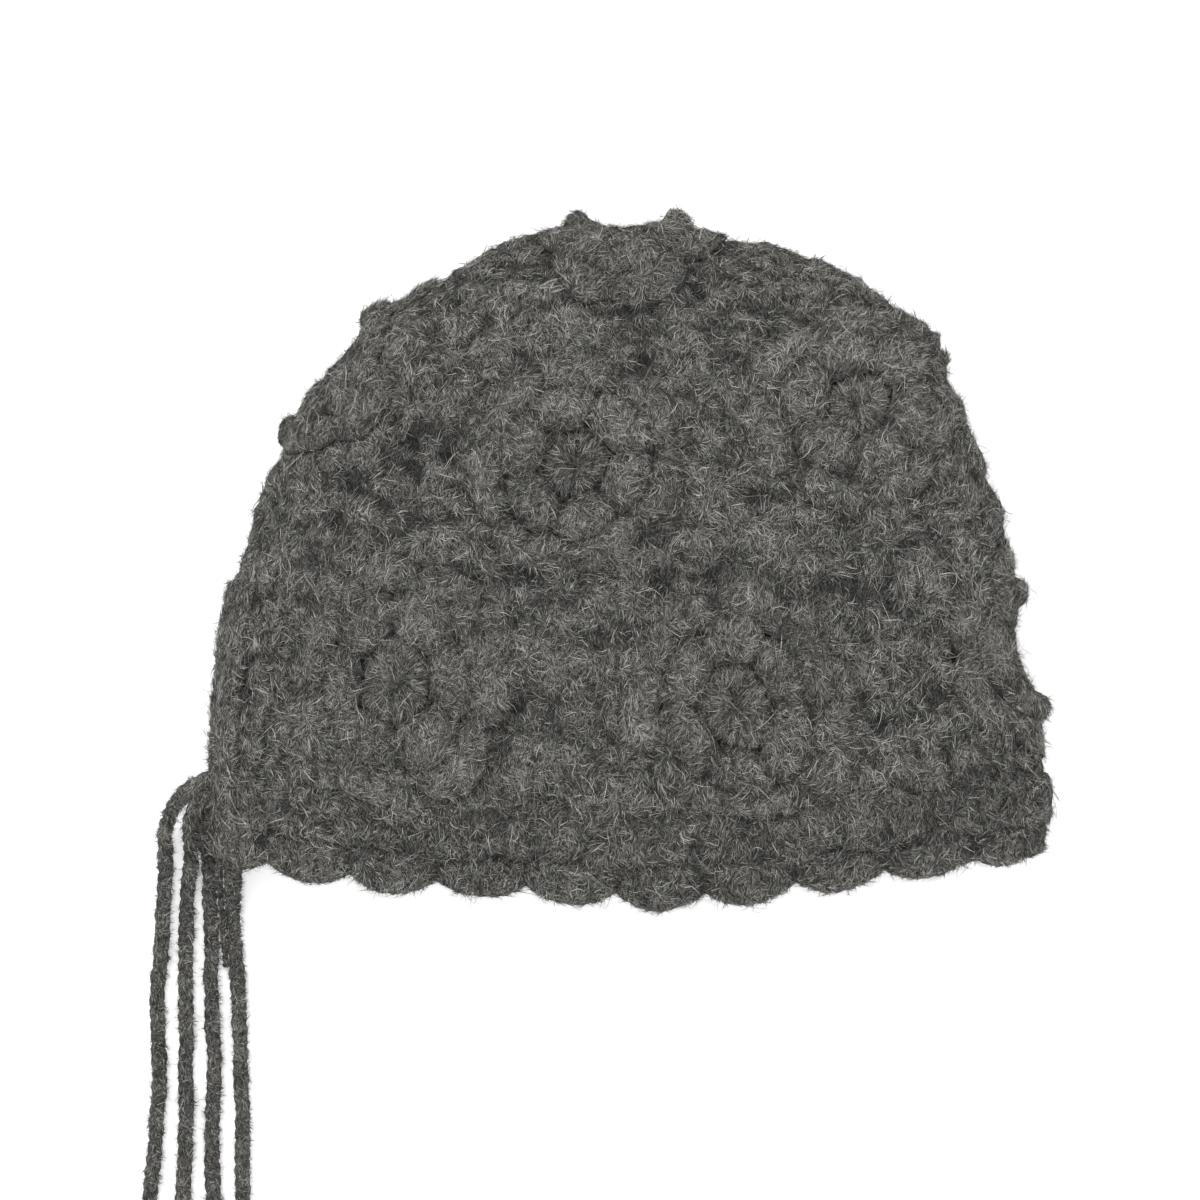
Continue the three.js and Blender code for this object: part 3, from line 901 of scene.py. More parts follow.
        def place(i: Array, j: Array) -> tuple[Array, Array]:
            turn = self.turns[i]
            drop, out = section[j].T
            plain = self.place_at(turn, drop)
            wander = 1.2 * lumps(plain, 10.0, 44)
            whole = np.full(len(turn), self.rim_length)
            stitch = rows.height(turn, 660.0 + drop + wander, lambda up: whole)
            facing = smooth((out + 2.0) / 1.6)
            soft = lumps(plain, 10.0, 42)
            knots = np.abs(lumps(plain, 4.2, 43))
            deep = smooth((stitch - 0.3) / 0.6)
            plain = self.place_at(turn, drop + facing * 1.5 * self.hem_wander(plain))
            bulge = 1.6 * self.near_right_fold(plain)
            out = out + facing * (1.7 * deep - 1.1 + 0.9 * soft + 0.9 * knots + bulge)
            # the low base, and the faces turned in and under, keep the height low, which the wool
            # paints darker: painted shade along the bottom rows and on their hidden faces
            rise = np.clip(0.16 + facing * (0.3 * deep + 0.35 * knots + 0.1 * soft), 0, 1)
            return form.laid(form.grown(plain, out), 0.3), rise

        return net("band_skin", self.columns, self.band_rows, place)

    def scallop_edging(self) -> bpy.types.Mesh:
        """Shell stitches: a fan of posts in each lobe, with a rolled edge."""
        form = self.form
        # share of the way down, millimetres past it, and out
        section = np.array(
            [
                (0.0, 3.4, -1.5), (0.03, 0.0, 0.1), (0.12, 0.0, 0.7), (0.25, 0.0, 0.8),
                (0.35, 0.0, 0.6), (0.45, 0.0, 0.6), (0.55, 0.0, 0.6), (0.65, 0.0, 0.8),
                (0.75, 0.0, 1.1), (0.85, 0.0, 1.4), (0.94, 0.0, 1.2), (1.0, -0.5, 0.4),
                (1.0, 0.0, -0.8), (1.0, 0.1, -2.0), (1.0, 0.0, -3.2), (1.0, -0.6, -4.4),
                (0.9, 0.0, -5.1), (0.7, 0.0, -5.0), (0.5, 0.0, -5.0), (0.3, 0.0, -5.0),
                (0.05, 0.0, -5.0), (0.0, 3.4, -4.2), (0.0, 3.4, -1.5),
            ]
        )
        high = -form.band_height - 0.35

        def place(i: Array, j: Array) -> tuple[Array, Array]:
            turn = self.turns[i]
            within, lobe, share = self._lobe(turn)
            half_lobe = self.rim_length / form.scallops / 2
            uneven = scatter(lobe, lobe * 0, 51) - 0.5
            notch = form.lobe_depth * np.abs(within) ** 2.2
            tip = -form.hem_drop + form.hem_lift(share) + notch + 0.4 * uneven * (1 - within**2)
            down, past, out = section[j].T
            drop = high + (tip - high) * down - past * (down > 0.5) + past * (down < 0.5) * 0.4
            plain = form.point(turn, drop)
            depth = (high - drop) + 2.0
            fan = np.arctan2(within * half_lobe, depth + 2.5)
            post = np.sqrt(np.abs(np.cos(fan * 4.6 + 0.4 * uneven)))
            facing = smooth((out + 1.8) / 1.6)
            crease = np.abs(within) ** 10
            chain = np.abs(np.sin(within * half_lobe * math.pi / 3.9))
            near_edge = smooth((down - 0.78) / 0.2)
            knots = np.abs(lumps(plain, 4.4, 52))
            soft = lumps(plain, 8.0, 53)
            relief = (1 - near_edge) * (1.2 * post - 0.7) + near_edge * (1.0 * chain - 0.4)
            corner = 1.4 * self.near_right_fold(plain) * smooth(down)
            out = out + facing * (relief - 1.6 * crease + 0.9 * soft + 0.8 * knots - corner)
            drop = drop + 0.45 * near_edge * (chain - 0.5) + 0.6 * near_edge * soft
            drop = drop + 1.5 * facing * (1 - smooth(down / 0.6)) * self.hem_wander(plain)
            plain = form.point(turn, drop)
            # the low base, the creases between lobes and the faces turned in keep the height low:
            # painted shade along the bottom rows, in the creases and on the hidden faces
            rise = np.clip(
                0.16 + facing * (0.3 * post + 0.2 * near_edge + 0.3 * knots - 0.5 * crease), 0, 1
            )
            return form.laid(form.grown(plain, out), 0.3), rise

        return net("scallop_skin", self.columns, len(section) - 1, place)

    def slit_edge(self, side: int) -> bpy.types.Mesh:
        """One of the slit's edge strips: ribs across a smooth band.

        Args:
            side: 1 for the strip above the slit, -1 for the one under it.

        Returns:
            The strip's mesh.
        """
        form = self.form
        section = closed_profile(
            [
                (0.0, -1.2), (0.03, 0.7), (0.25, 1.7), (0.5, 1.5), (0.75, 1.4), (0.95, 0.7),
                (1.0, -1.0), (1.0, -4.4), (0.75, -5.4), (0.3, -5.4), (0.02, -4.6),
            ],
            self.strip_rows,
            True,
        )
        foot = -form.hem_drop + 0.5 * form.lobe_depth
        top = form.slit_length - form.hem_drop - 0.4
        loft = form.upper_loft if side > 0 else form.lower_loft
        half_power = form.fold_power / 2

        def place(i: Array, j: Array) -> tuple[Array, Array]:
            across, out = section[i % self.strip_rows].T
            along = j / self.strip_length
            y = foot + (top - foot) * np.clip((along - 0.02) / 0.96, 0, 1)
            climb = form.climb_to(y)
            girth = form.girth(climb)
            reach = form.half_width * girth
            far = np.arccos(np.clip(1 - form.edge_band_width / reach, 0, 1) ** half_power)
            near = np.arcsin(np.clip(form.slit_gap / 2 / (loft * girth), 0, 1) ** half_power)
            angle = near + (far - near) * np.clip(across, 0, 1)
            plain = form.point(side * angle / TAU % 1.0, climb)
            ends = (along < 0.005) | (along > 0.995)
            facing = smooth((out + 1.6) / 1.6)
            rib = np.sqrt(np.abs(np.sin(y * math.pi / 4.0 + 0.8 * lumps(plain, 9.0, 61))))
            relief = 0.6 * rib - 0.4 + 0.4 * lumps(plain, 6.0, 62)
            out = np.where(ends, -2.2, out + facing * relief)
            middle = form.point(side * (near + far) / 2 / TAU % 1.0, climb)
            plain = np.where(ends[:, None], middle, plain)
            # the grooves between ribs and the faces turned in keep the height low: painted shade there
            rise = np.clip(0.3 + 0.6 * facing * rib, 0, 1)
            return form.laid(form.grown(plain, out), 0.3), rise

        return net(f"slit_edge_skin_{side}", self.strip_rows, self.strip_length, place)

    def slit_cutter(self) -> bpy.types.Object:
        """A block that stands where the slit's two strips go."""
        form = self.form
        # up the fold, from well under the hem to the slit's top
        heights = np.array([-40.0, -30, -15, 0, 15, 30, 45, form.slit_length - form.hem_drop])
        line = form.laid(form.point(np.zeros(len(heights)), form.climb_to(heights)), -100.0)
        line[:, 0] += (form.edge_band_width + self.cut_clearance) * MM
        outline = [(x, y) for x, y, _ in line] + [(-0.3, line[-1][1]), (-0.3, line[0][1])]
        bm = bmesh.new()
        face = bm.faces.new([bm.verts.new((x, y, -0.05)) for x, y in outline])
        made = bmesh.ops.extrude_face_region(bm, geom=[face])
        moved = [v for v in made["geom"] if isinstance(v, bmesh.types.BMVert)]
        bmesh.ops.translate(bm, verts=moved, vec=(0, 0, 0.2))
        bmesh.ops.recalc_face_normals(bm, faces=bm.faces)
        return linked("slit_cutter", as_mesh(bm, "slit_cutter"))

    def cut(self, piece: bpy.types.Object, cutter: bpy.types.Object) -> None:
        """Cut the slit's place out of a piece."""
        knife = piece.modifiers.new("slit", "BOOLEAN")
        knife.operation = "DIFFERENCE"
        knife.solver = "EXACT"
        knife.object = cutter
        ready = piece.evaluated_get(bpy.context.evaluated_depsgraph_get())
        mesh = bpy.data.meshes.new_from_object(ready)
        piece.modifiers.clear()
        piece.data = mesh
        shade_smooth(mesh)

    def build(self) -> list[bpy.types.Object]:
        """Make and dress every piece of the body."""
        made = []
        plan = (
            ("crown", self.crown, Wool.CROWN, True),
            ("rim_band", self.band, Wool.EDGING, True),
            ("scallop_edging", self.scallop_edging, Wool.EDGING, True),
            ("slit_edge_upper", lambda: self.slit_edge(1), Wool.EDGING, False),
            ("slit_edge_lower", lambda: self.slit_edge(-1), Wool.EDGING, False),
        )
        cutter = self.slit_cutter()
        for node, build, wool, slit in plan:
            piece = make_piece(f"{node}_wool", build())
            if slit:
                self.cut(piece, cutter)
            piece.data.materials.clear()
            piece.data.materials.append(self.basket.wool[wool])
            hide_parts(node)
            made.append(piece)
            LOG.info("%s: %d faces", piece.name, len(piece.data.polygons))
        bpy.data.objects.remove(cutter)
        return made


# Roses.


@dataclass
class Rose:
    """One crochet rose: a heart and two rounds of petals, laid over the crown."""

    name: str
    across: float
    up: float
    side: int
    turn: float
    heart: float
    parting: float
    seed: int
    form: BonnetForm
    basket: Basket
    heart_radius: float = 10.4
    outer_reach: float = 35.5
    petals: int = 6
    posts: int = 4
    # rays and rows of each net, before the fineness
    heart_net: tuple[int, int] = (84, 18)
    inner_net: tuple[int, int] = (190, 30)
    outer_net: tuple[int, int] = (250, 28)
    rim_margin: float = 0.5
    knob_radius: float = 5.0
    knob_height: float = 4.2
    ray_step: float = 2.5
    fineness: float = 0.86
    hidden_fineness: float = 0.5

    @property
    def inner_reach(self) -> float:
        """From the rose's middle to the tips of its inner petals."""
        return 0.662 * self.outer_reach

    @property
    def on_fold(self) -> bool:
        """True for a rose that is creased over a fold of the crown."""
        return self.side == 0

    def knobs(self, angle: Array, reach: Array) -> Array:
        """From 0 to 1 where a fold rose's petal curls up, at two places along the fold."""
        fold_way, first, second = KNOBS[self.name]
        way = np.mod(angle - fold_way, 1.0)
        behind = np.abs(way - 0.5) < 0.25
        off = np.where(behind, way - 0.5, np.mod(way + 0.5, 1.0) - 0.5)
        along = reach - np.where(behind, second, first)
        away = (along**2 + (off * TAU * reach) ** 2) / self.knob_radius**2
        return np.maximum(0.0, 1 - away) ** 0.6

    def wobble(self, angle: Array) -> Array:
        """How far from round the rose is at each angle, as a share of its reach."""
        phase = self.seed * 1.7
        return (
            1
            + 0.05 * np.sin(2 * TAU * angle + phase)
            + 0.035 * np.sin(3 * TAU * angle + 2.3 * phase)
            + 0.02 * np.sin(7 * TAU * angle + 3.1 * phase)
        )

    def middle(self) -> Array:
        """The place on the plain form that settles over the rose's middle."""
        form = self.form
        wanted = np.array([self.across * form.half_width, self.up * form.crown_rise])
        if self.on_fold:
            p = form.onto(np.array([[*wanted, 0.0]]), 6)
            p[0, 2] = 0.0
            return p[0]
        guess = wanted.copy()
        p = np.zeros((1, 3))
        for _ in range(12):
            inner, outer = 0.0, self.side * (form.upper_loft + form.lower_loft)
            for _ in range(30):
                p = np.array([[guess[0], guess[1], (inner + outer) / 2]])
                if form.outside(p)[0] > 0:
                    outer = p[0, 2]
                else:
                    inner = p[0, 2]
            guess = guess + wanted - form.settle(p)[0, :2]
        return p[0]

    def rays(self, count: int, reach: float) -> Array:
        """Straight lines over the crown from the rose's middle, as (ray, step, place)."""
        form, step = self.form, self.ray_step
        middle = self.middle()
        up = form.outward(middle[None])[0]
        aside = np.cross([0.0, 1.0, 0.0], up)
        if np.linalg.norm(aside) < 0.3:
            aside = np.array([1.0, 0.0, 0.0])
        aside = unit(aside - up * aside.dot(up))
        ahead = np.cross(up, aside)
        angle = TAU * np.arange(count) / count
        heading = np.cos(angle)[:, None] * aside + np.sin(angle)[:, None] * ahead
        here = np.repeat(middle[None], count, axis=0)
        path = [here]
        for _ in range(int(reach / step) + 3):
            here = form.onto(here + heading * step)
            n = form.outward(here)
            heading = unit(heading - n * (heading * n).sum(axis=1, keepdims=True))
            path.append(here)
        return np.stack(path, axis=1)

    def place_round(
        self, count: int, section: Array, lobes: int, shape: Callable[..., tuple[Array, ...]]
    ) -> Place:
        """Lay a round of cloth over the rays.

        Args:
            count: rays round the rose.
            section: reach and out of each row.
            lobes: petals in the round, or 0 for the heart.
            shape: turns reach, out and the petals' measures into finished ones.

        Returns:
            The function that net() asks for.
        """
        petals = max(lobes, 1)
        paths = self.rays(count, float(section[:, 0].max()) * 1.12 + 3.0)
        step = self.ray_step
        rim = step * (paths[:, :, 1] > self.rim_margin).sum(axis=1)
        first = self.turn * count / petals

        def place(i: Array, j: Array) -> tuple[Array, Array]:
            angle = (i - first) / count
            at = angle * petals
            within = np.abs(2 * (at % 1) - 1)
            petal = np.floor(at) % petals
            reach, out, rise = shape(section[j, 0], section[j, 1], angle, within, petal)
            reach = reach * self.wobble(i / count)
            reach = rim[i] - 2.0 * np.logaddexp(0.0, (rim[i] - reach) / 2.0)
            reach = np.maximum(reach, 0.0)
            k = np.clip((reach / step).astype(int), 0, paths.shape[1] - 2)
            t = (reach / step - k)[:, None]
            base = paths[i, k] * (1 - t) + paths[i, k + 1] * t
            soft = lumps(base, 12.0, self.seed)
            knots = np.abs(lumps(base + 40.0, 4.4, self.seed + 1))
            pebble = lumps(base, 2.8, self.seed + 2)
            top = smooth((out - 0.2) / 1.6)
            calm = 0.6 if self.on_fold else 1.0
            out = out + calm * top * (1.1 * soft + 1.7 * knots + 0.5 * pebble - 0.8)
            # the sides and undersides of each round, in the gaps between rounds, get a low height,
            # which the wool paints darker: painted shade there
            rise = np.clip(rise + 0.35 * knots + 0.12 * soft - 0.06, 0, 1) * (0.25 + 0.75 * top)
            return self.form.laid(self.form.grown(base, out), 0.05), rise

        return place

    def heart_mesh(self, fine: float) -> bpy.types.Mesh:
        """The heart: a low disc of radial stitches round a dimple."""
        r = self.heart_radius * self.heart
        count, rows = (int(n * fine) for n in self.heart_net)
        section = closed_profile(
            [
                (0.0, 1.5), (1.4, 1.9), (0.35 * r, 3.3), (0.62 * r, 3.9), (0.86 * r, 3.3),
                (0.99 * r, 1.8), (0.98 * r, 0.3), (0.8 * r, -0.7), (0.0, -0.7),
            ],
            rows,
            False,
        )
        section[:, 0] = np.maximum(section[:, 0], 0.0)
        section[0, 0] = section[-1, 0] = 0.0

        def shape(
            reach: Array, out: Array, angle: Array, within: Array, petal: Array
        ) -> tuple[Array, Array, Array]:
            share = reach / r
            post = np.sqrt(np.abs(np.cos(angle * math.pi * 14)))
            body = smooth(share / 0.3) * smooth((1.02 - share) / 0.15)
            out = out + np.where(out > 0.5, body * (1.1 * post - 0.7), 0.0)
            if self.on_fold:
                out = np.where(out > 0.3, 0.3 + 0.2 * (out - 0.3), out)
            # the gaps between posts and the heart's edge get a low height: painted shade there
            return reach, out, 0.2 + 0.5 * post * body

        return net(f"rose_{self.name}_heart", count, rows, self.place_round(count, section, 0, shape))

    def petals_mesh(self, inner: bool, fine: float) -> bpy.types.Mesh:
        """One round of petals.

        Args:
            inner: True for the round that leans over the heart.
            fine: share of the full fineness.

        Returns:
            The round's mesh.
        """
        if inner:
            a = self.heart_radius * self.heart + self.parting
            b = self.inner_reach
            lobes, cusp, notch = self.petals, 2.4, 2.6
            points = [
                (a + 1.8, -0.8), (a + 0.7, 1.2), (a - 0.7, 2.9), (a - 0.9, 4.4), (a + 0.6, 5.7),
                (a + 3.4, 6.2), (a + 7.0, 5.6), (b - 2.0, 4.8), (b + 0.5, 3.9), (b + 1.2, 2.7),
                (b - 0.2, 1.4), (b - 2.2, 0.4), (b - 3.0, -0.8),
            ]
        else:
            a = self.inner_reach + self.parting
            b = self.outer_reach
            lobes, cusp, notch = self.petals + 1, 0.6, 4.4
            points = [
                (a + 0.8, -0.8), (a - 0.8, 0.9), (a - 0.9, 2.4), (a + 0.9, 3.7), (a + 4.6, 3.7),
                (b - 4.6, 2.7), (b - 2.4, 2.1), (b - 0.8, 1.2), (b - 0.1, 0.2), (b - 1.0, -0.5),
                (b - 2.4, -1.0),
            ]
        count, rows = (int(n * fine) for n in (self.inner_net if inner else self.outer_net))
        section = closed_profile(points, rows, True)

        def shape(
            reach: Array, out: Array, angle: Array, within: Array, petal: Array
        ) -> tuple[Array, Array, Array]:
            share = np.clip((reach - a) / (b - a), 0, 1)
            edge = within**3
            swing = 1 - edge
            long = scatter(petal, petal * 0 + inner, self.seed + 7) - 0.5
            tall = scatter(petal, petal * 0 + inner, self.seed + 8) - 0.5
            reach = reach + (1 - share) * cusp * edge - share * notch * edge
            reach = reach + swing * share * 2.4 * long
            crease = np.clip((within - 0.6) / 0.4, 0, 1) ** 2
            post = np.sqrt(np.abs(np.cos(angle * math.pi * lobes * self.posts)))
            lip = smooth((share - 0.7) / 0.25)
            chain = np.abs(np.sin(angle * math.pi * lobes * (self.posts + 1)))
            relief = (1 - lip) * (0.9 * post - 0.6) + lip * (0.8 * chain - 0.4)
            proud = smooth(out / 2.0)
            pillow = (1 - within**2) * np.sin(math.pi * share)
            out = out * (1 + 0.35 * swing * tall) + proud * (relief + 0.8 * pillow - 1.5 * crease)
            if self.on_fold:
                lift = self.knob_height * self.knobs(angle + self.turn / lobes, reach)
                low = 0.4 if inner else 0.3
                out = np.where(out > 0.6, 0.6 + (out - 0.6) * low + lift, out)
            # the creases between petals and the petal edges get a low height: painted shade there
            rise = 0.2 + 0.3 * ((1 - lip) * post + lip * chain) + 0.2 * pillow - 0.3 * crease
            return reach, out, rise

        name = "inner" if inner else "outer"
        return net(
            f"rose_{self.name}_{name}", count, rows, self.place_round(count, section, lobes, shape)
        )

    def build(self) -> list[bpy.types.Object]:
        """Make and dress the rose's three pieces."""
        fine = self.hidden_fineness if self.side < 0 else self.fineness
        meshes = {
            "heart": self.heart_mesh(fine),
            "inner_petals": self.petals_mesh(True, fine),
            "outer_petals": self.petals_mesh(False, fine),
        }
        made = []
        for part, mesh in meshes.items():
            piece = make_piece(f"rose_{self.name}_{part}_wool", mesh)
            mesh.materials.append(self.basket.wool[Wool.PETAL])
            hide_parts(f"rose_{self.name}_{part}")
            made.append(piece)
        LOG.info("rose %s: %d faces", self.name, sum(len(p.data.polygons) for p in made))
        return made


# name, across, up, side, turn and heart of each rose, as in the solids, and the parting round it
ROSES = (
    ("a", -0.126, 0.572, 1, 0.2, 1.0, 0.85),
    ("b", -0.552, 0.182, 1, 0.55, 1.12, 0.25),
    ("c", 0.256, 0.138, 1, 0.0, 1.1, 0.25),
    ("d", 0.546, 0.678, 1, 0.35, 0.96, 0.3),
    ("top", -0.01, 1.0, 0, 0.1, 1.0, 0.5),
    ("left", -0.72, 0.745, 0, 0.3, 1.0, 0.5),
    ("right", 0.93, 0.23, 0, 0.45, 1.0, 0.5),
    ("e", -0.06, 0.56, -1, 0.15, 1.0, 0.7),
    ("f", -0.5, 0.17, -1, 0.4, 1.0, 0.7),
    ("g", 0.3, 0.14, -1, 0.7, 1.0, 0.7),
    ("h", 0.5, 0.62, -1, 0.5, 1.0, 0.7),
)

# the turn at which a fold rose's rays run along the fold, and how far out its two knobs stand
KNOBS = {
    "top": (0.0, 18.5, 18.5),
    "left": (0.25, 15.0, 27.0),
    "right": (0.25, 18.5, 18.5),
}


# Cords.


@dataclass
class Cord:
    """A crocheted tie cord: three strands plaited into a chain, with a knot at its end."""

    node: str
    route: tuple[tuple[float, float, float], ...]
    form: BonnetForm
    basket: Basket
    diameter: float = 4.4
    strands: int = 3
    sides: int = 7
    plait: float = 11.5
    bare: bool = False
    knot_diameter: float = 9.0
    # the knot's loop and strand, as shares of its radius, and how far past the cord's end it lies
    knot_loop: float = 0.62
    knot_strand: float = 0.36
    knot_reach: float = 1.1
    knot_gap: float = 0.3
    knot_samples: int = 73
    knot_sides: int = 8
    tucked: float = 2.4
    swell: float = 0.3
    swell_end: float = 20.0
    swell_fade: float = 12.0
    spacing: float = 0.9
    plumpness: float = 0.65

    @property
    def knot(self) -> str | None:
        """The node of the knot at its end."""
        return None if self.bare else self.node.replace("cord", "knot")

    def line(self) -> Array:
        """The cord's middle line in millimetres, in the frame."""
        shift = self.form.shift + np.array([0.0, -self.form.hem_drop, 0.0])
        shift[2] = 0.0
        p = np.array(self.route) + shift
        start = p[:1] + unit(p[:1] - p[1:2]) * self.tucked
        p = np.concatenate([start, p])
        if self.knot:
            p = np.concatenate([p, p[-1:] + unit(p[-1:] - p[-2:-1]) * self.tucked])
        ring = np.concatenate([2 * p[:1] - p[1:2], p, 2 * p[-1:] - p[-2:-1]])
        curve = spline(ring, CORD_SAMPLES)
        return divided(curve, int(stretches(curve).sum() / self.spacing))

    def strand(self, bm: bmesh.types.BMesh, centres: Array, radius: Array, sides: int) -> None:
        """Add one closed strand to a mesh.

        Args:
            bm: the mesh.
            centres: its middle line in millimetres.
            radius: its radius at each of those points.
            sides: corners round it.
        """
        tangent = unit(np.gradient(centres, axis=0))
        flat = unit(np.cross(tangent, [0.0, 0.0, 1.0]) + 1e-6)
        rise = np.cross(flat, tangent)
        rings = len(centres)
        made = bmesh.ops.create_grid(bm, x_segments=sides, y_segments=rings - 1, size=1.0)
        for vert in made["verts"]:
            i = round((vert.co.x + 1) / 2 * sides) % sides
            j = round((vert.co.y + 1) / 2 * (rings - 1))
            a = TAU * i / sides
            spoke = flat[j] * math.cos(a) + rise[j] * math.sin(a)
            vert.co = Vector((centres[j] + spoke * radius[j]) * MM)

    def plaited(self) -> bpy.types.Mesh:
        """The plaited strands as one mesh."""
        line = self.line()
        along = np.linspace(0, stretches(line).sum(), len(line))
        tangent = unit(np.gradient(line, axis=0))
        flat = unit(np.cross(tangent, [0.0, 0.0, 1.0]))
        rise = np.cross(flat, tangent)
        size = self.diameter / 2
        bm = bmesh.new()
        wobble = 0.3 * lumps(line, 7.0, 71)[:, None]
        for k in range(self.strands):
            phase = TAU * (along / self.plait + k / self.strands)
            high = np.cos(phase) if self.strands == 2 else np.sin(2 * phase) * 0.5
            centres = (
                line
                + flat * (np.sin(phase) * 0.5 * size)[:, None]
                + rise * (high * 0.5 * size)[:, None]
                + flat * wobble
            )
            radius = np.full(len(line), size * self.plumpness)
            radius = radius * (1 + 0.3 * lumps(line + 9.0 * k, 3.2, 72 + k))
            radius = radius * (1 + self.swell * smooth((self.swell_end - along) / self.swell_fade))
            radius[0] = radius[-1] = 1e-4
            self.strand(bm, centres, radius, self.sides)
        bmesh.ops.remove_doubles(bm, verts=bm.verts, dist=1e-6)
        bmesh.ops.recalc_face_normals(bm, faces=bm.faces)
        return self._finished(bm, f"{self.node}_strands")

    def _finished(self, bm: bmesh.types.BMesh, name: str) -> bpy.types.Mesh:
        """A smooth mesh with the rise that colours follow."""
        mesh = as_mesh(bm, name)
        places = read(mesh.vertices, "co", 3, float)
        set_rise(mesh, np.clip(0.55 + 0.4 * lumps(places / MM, 2.5, 73), 0, 1))
        shade_smooth(mesh)
        return mesh

    def knotted(self, end: Array, back: Array) -> bpy.types.Mesh:
        """A plain overhand knot just past the cord's end."""
        radius = self.knot_diameter / 2
        t = np.linspace(0, TAU, self.knot_samples)
        loop = np.stack(
            [
                np.sin(t) + 2 * np.sin(2 * t),
                np.cos(t) - 2 * np.cos(2 * t),
                -1.2 * np.sin(3 * t),
            ],
            axis=1,
        )
        middle = end + back * (self.knot_reach * radius + self.knot_gap - self.tucked)
        centres = loop * (radius * self.knot_loop / 3.0)
        centres[:, 2] += radius
        centres[:, :2] += middle[:2]
        bm = bmesh.new()
        self.strand(bm, centres, np.full(len(t), radius * self.knot_strand), self.knot_sides)
        bmesh.ops.remove_doubles(bm, verts=bm.verts, dist=2e-5)
        bmesh.ops.recalc_face_normals(bm, faces=bm.faces)
        return self._finished(bm, f"{self.node}_knot")

    def build(self) -> list[bpy.types.Object]:
        line = self.line()
        piece = make_piece(f"{self.node}_wool", self.plaited())
        piece.data.materials.append(self.basket.wool[Wool.CORD])
        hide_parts(self.node)
        made, on_it = [piece], []
        if self.knot:
            tie = make_piece(
                f"{self.knot}_wool", self.knotted(line[-1], unit(line[-1] - line[-4]))
            )
            tie.data.materials.append(self.basket.wool[Wool.CORD])
            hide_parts(self.knot)
            made.append(tie)
            on_it.append(tie)
        LOG.info("%s: %d faces", piece.name, len(piece.data.polygons))
        return made


# each cord's middle line, from the foot of the rim's middle, in millimetres
ROUTES = {
    "tie_cord_1": (
        (-131.2, 26.0, 22.6), (-134.1, 24.8, 22.2), (-138.1, 21.3, 19.0), (-142.0, 16.0, 13.2),
        (-144.5, 9.1, 7.4), (-144.4, 1.5, 3.6), (-144.7, -6.0, 2.3), (-145.1, -14.0, 2.3),
        (-145.9, -27.0, 2.3), (-146.6, -40.0, 2.3), (-146.7, -54.0, 2.3), (-146.2, -68.0, 2.3),
        (-147.0, -80.0, 2.3), (-148.1, -92.0, 2.3), (-148.9, -101.0, 2.3), (-149.4, -107.0, 2.3),
    ),
    "tie_cord_2": (
        (-131.0, 20.9, 21.6), (-133.2, 19.6, 20.6), (-135.0, 16.2, 17.0), (-136.2, 11.0, 12.0),
        (-136.4, 5.0, 7.2), (-136.3, -1.5, 3.6), (-137.6, -9.0, 2.3), (-137.7, -22.0, 2.3),
        (-137.9, -36.0, 2.3), (-137.9, -50.0, 2.3), (-138.1, -64.0, 2.3), (-138.1, -78.0, 2.3),
        (-138.2, -90.0, 2.3), (-138.7, -101.0, 2.3), (-138.9, -108.0, 2.3),
    ),
    "tie_cord_3": (
        (-130.6, 14.9, 14.6), (-131.6, 12.6, 13.2), (-131.7, 8.0, 10.2), (-131.1, 2.0, 6.4),
        (-130.6, -4.5, 3.2), (-130.8, -11.0, 2.3), (-130.1, -23.0, 2.3), (-130.1, -36.0, 2.3),
        (-129.8, -50.0, 2.3), (-129.2, -64.0, 2.3), (-129.6, -78.0, 2.3), (-129.8, -90.0, 2.3),
        (-129.5, -101.0, 2.3), (-129.4, -106.0, 2.3),
    ),
    "tie_cord_4": (
        (-122.8, 0.2, 13.4), (-122.9, -2.3, 12.0), (-123.1, -5.8, 8.4), (-123.3, -10.6, 4.6),
        (-123.2, -16.5, 2.6), (-122.9, -23.3, 2.3), (-122.1, -33.0, 2.3), (-121.6, -45.0, 2.3),
        (-121.0, -56.0, 2.3), (-120.7, -70.0, 2.3), (-120.2, -85.0, 2.3), (-120.1, -101.0, 2.3),
        (-120.2, -109.0, 2.3),
    ),
    "yarn_tail": (
        (-127.4, 0.6, 13.2), (-127.4, -2.2, 10.4), (-127.2, -6.0, 7.0), (-127.0, -11.0, 4.8),
        (-126.6, -17.0, 4.0), (-126.2, -23.5, 3.2), (-125.8, -29.0, 1.8), (-125.6, -33.0, 1.1),
    ),
}


# what sets the yarn's loose end apart from the cords
YARN = {"diameter": 2.0, "strands": 2, "plait": 5.0, "bare": True}


# Fuzz.


@dataclass(frozen=True)
class Coat:
    """One kind of loose fibre: how many, how long and wide, and on what."""

    name: str
    wool: Wool
    count: int
    length: tuple[float, float]
    width: float
    steps: int
    lift: float
    # how much of each fibre shade, from dark to pale
    shades: tuple[float, ...]
    over: tuple[str, ...]
    sheltered: bool = False


CALM = (0.39, 0.04, 0.17, 0.22, 0.18)
BRIGHT = (0.365, 0.04, 0.17, 0.225, 0.2)
DUSKY = (0.39, 0.05, 0.21, 0.24, 0.11)
PALE = (0.1, 0.0, 0.3, 0.4, 0.2)

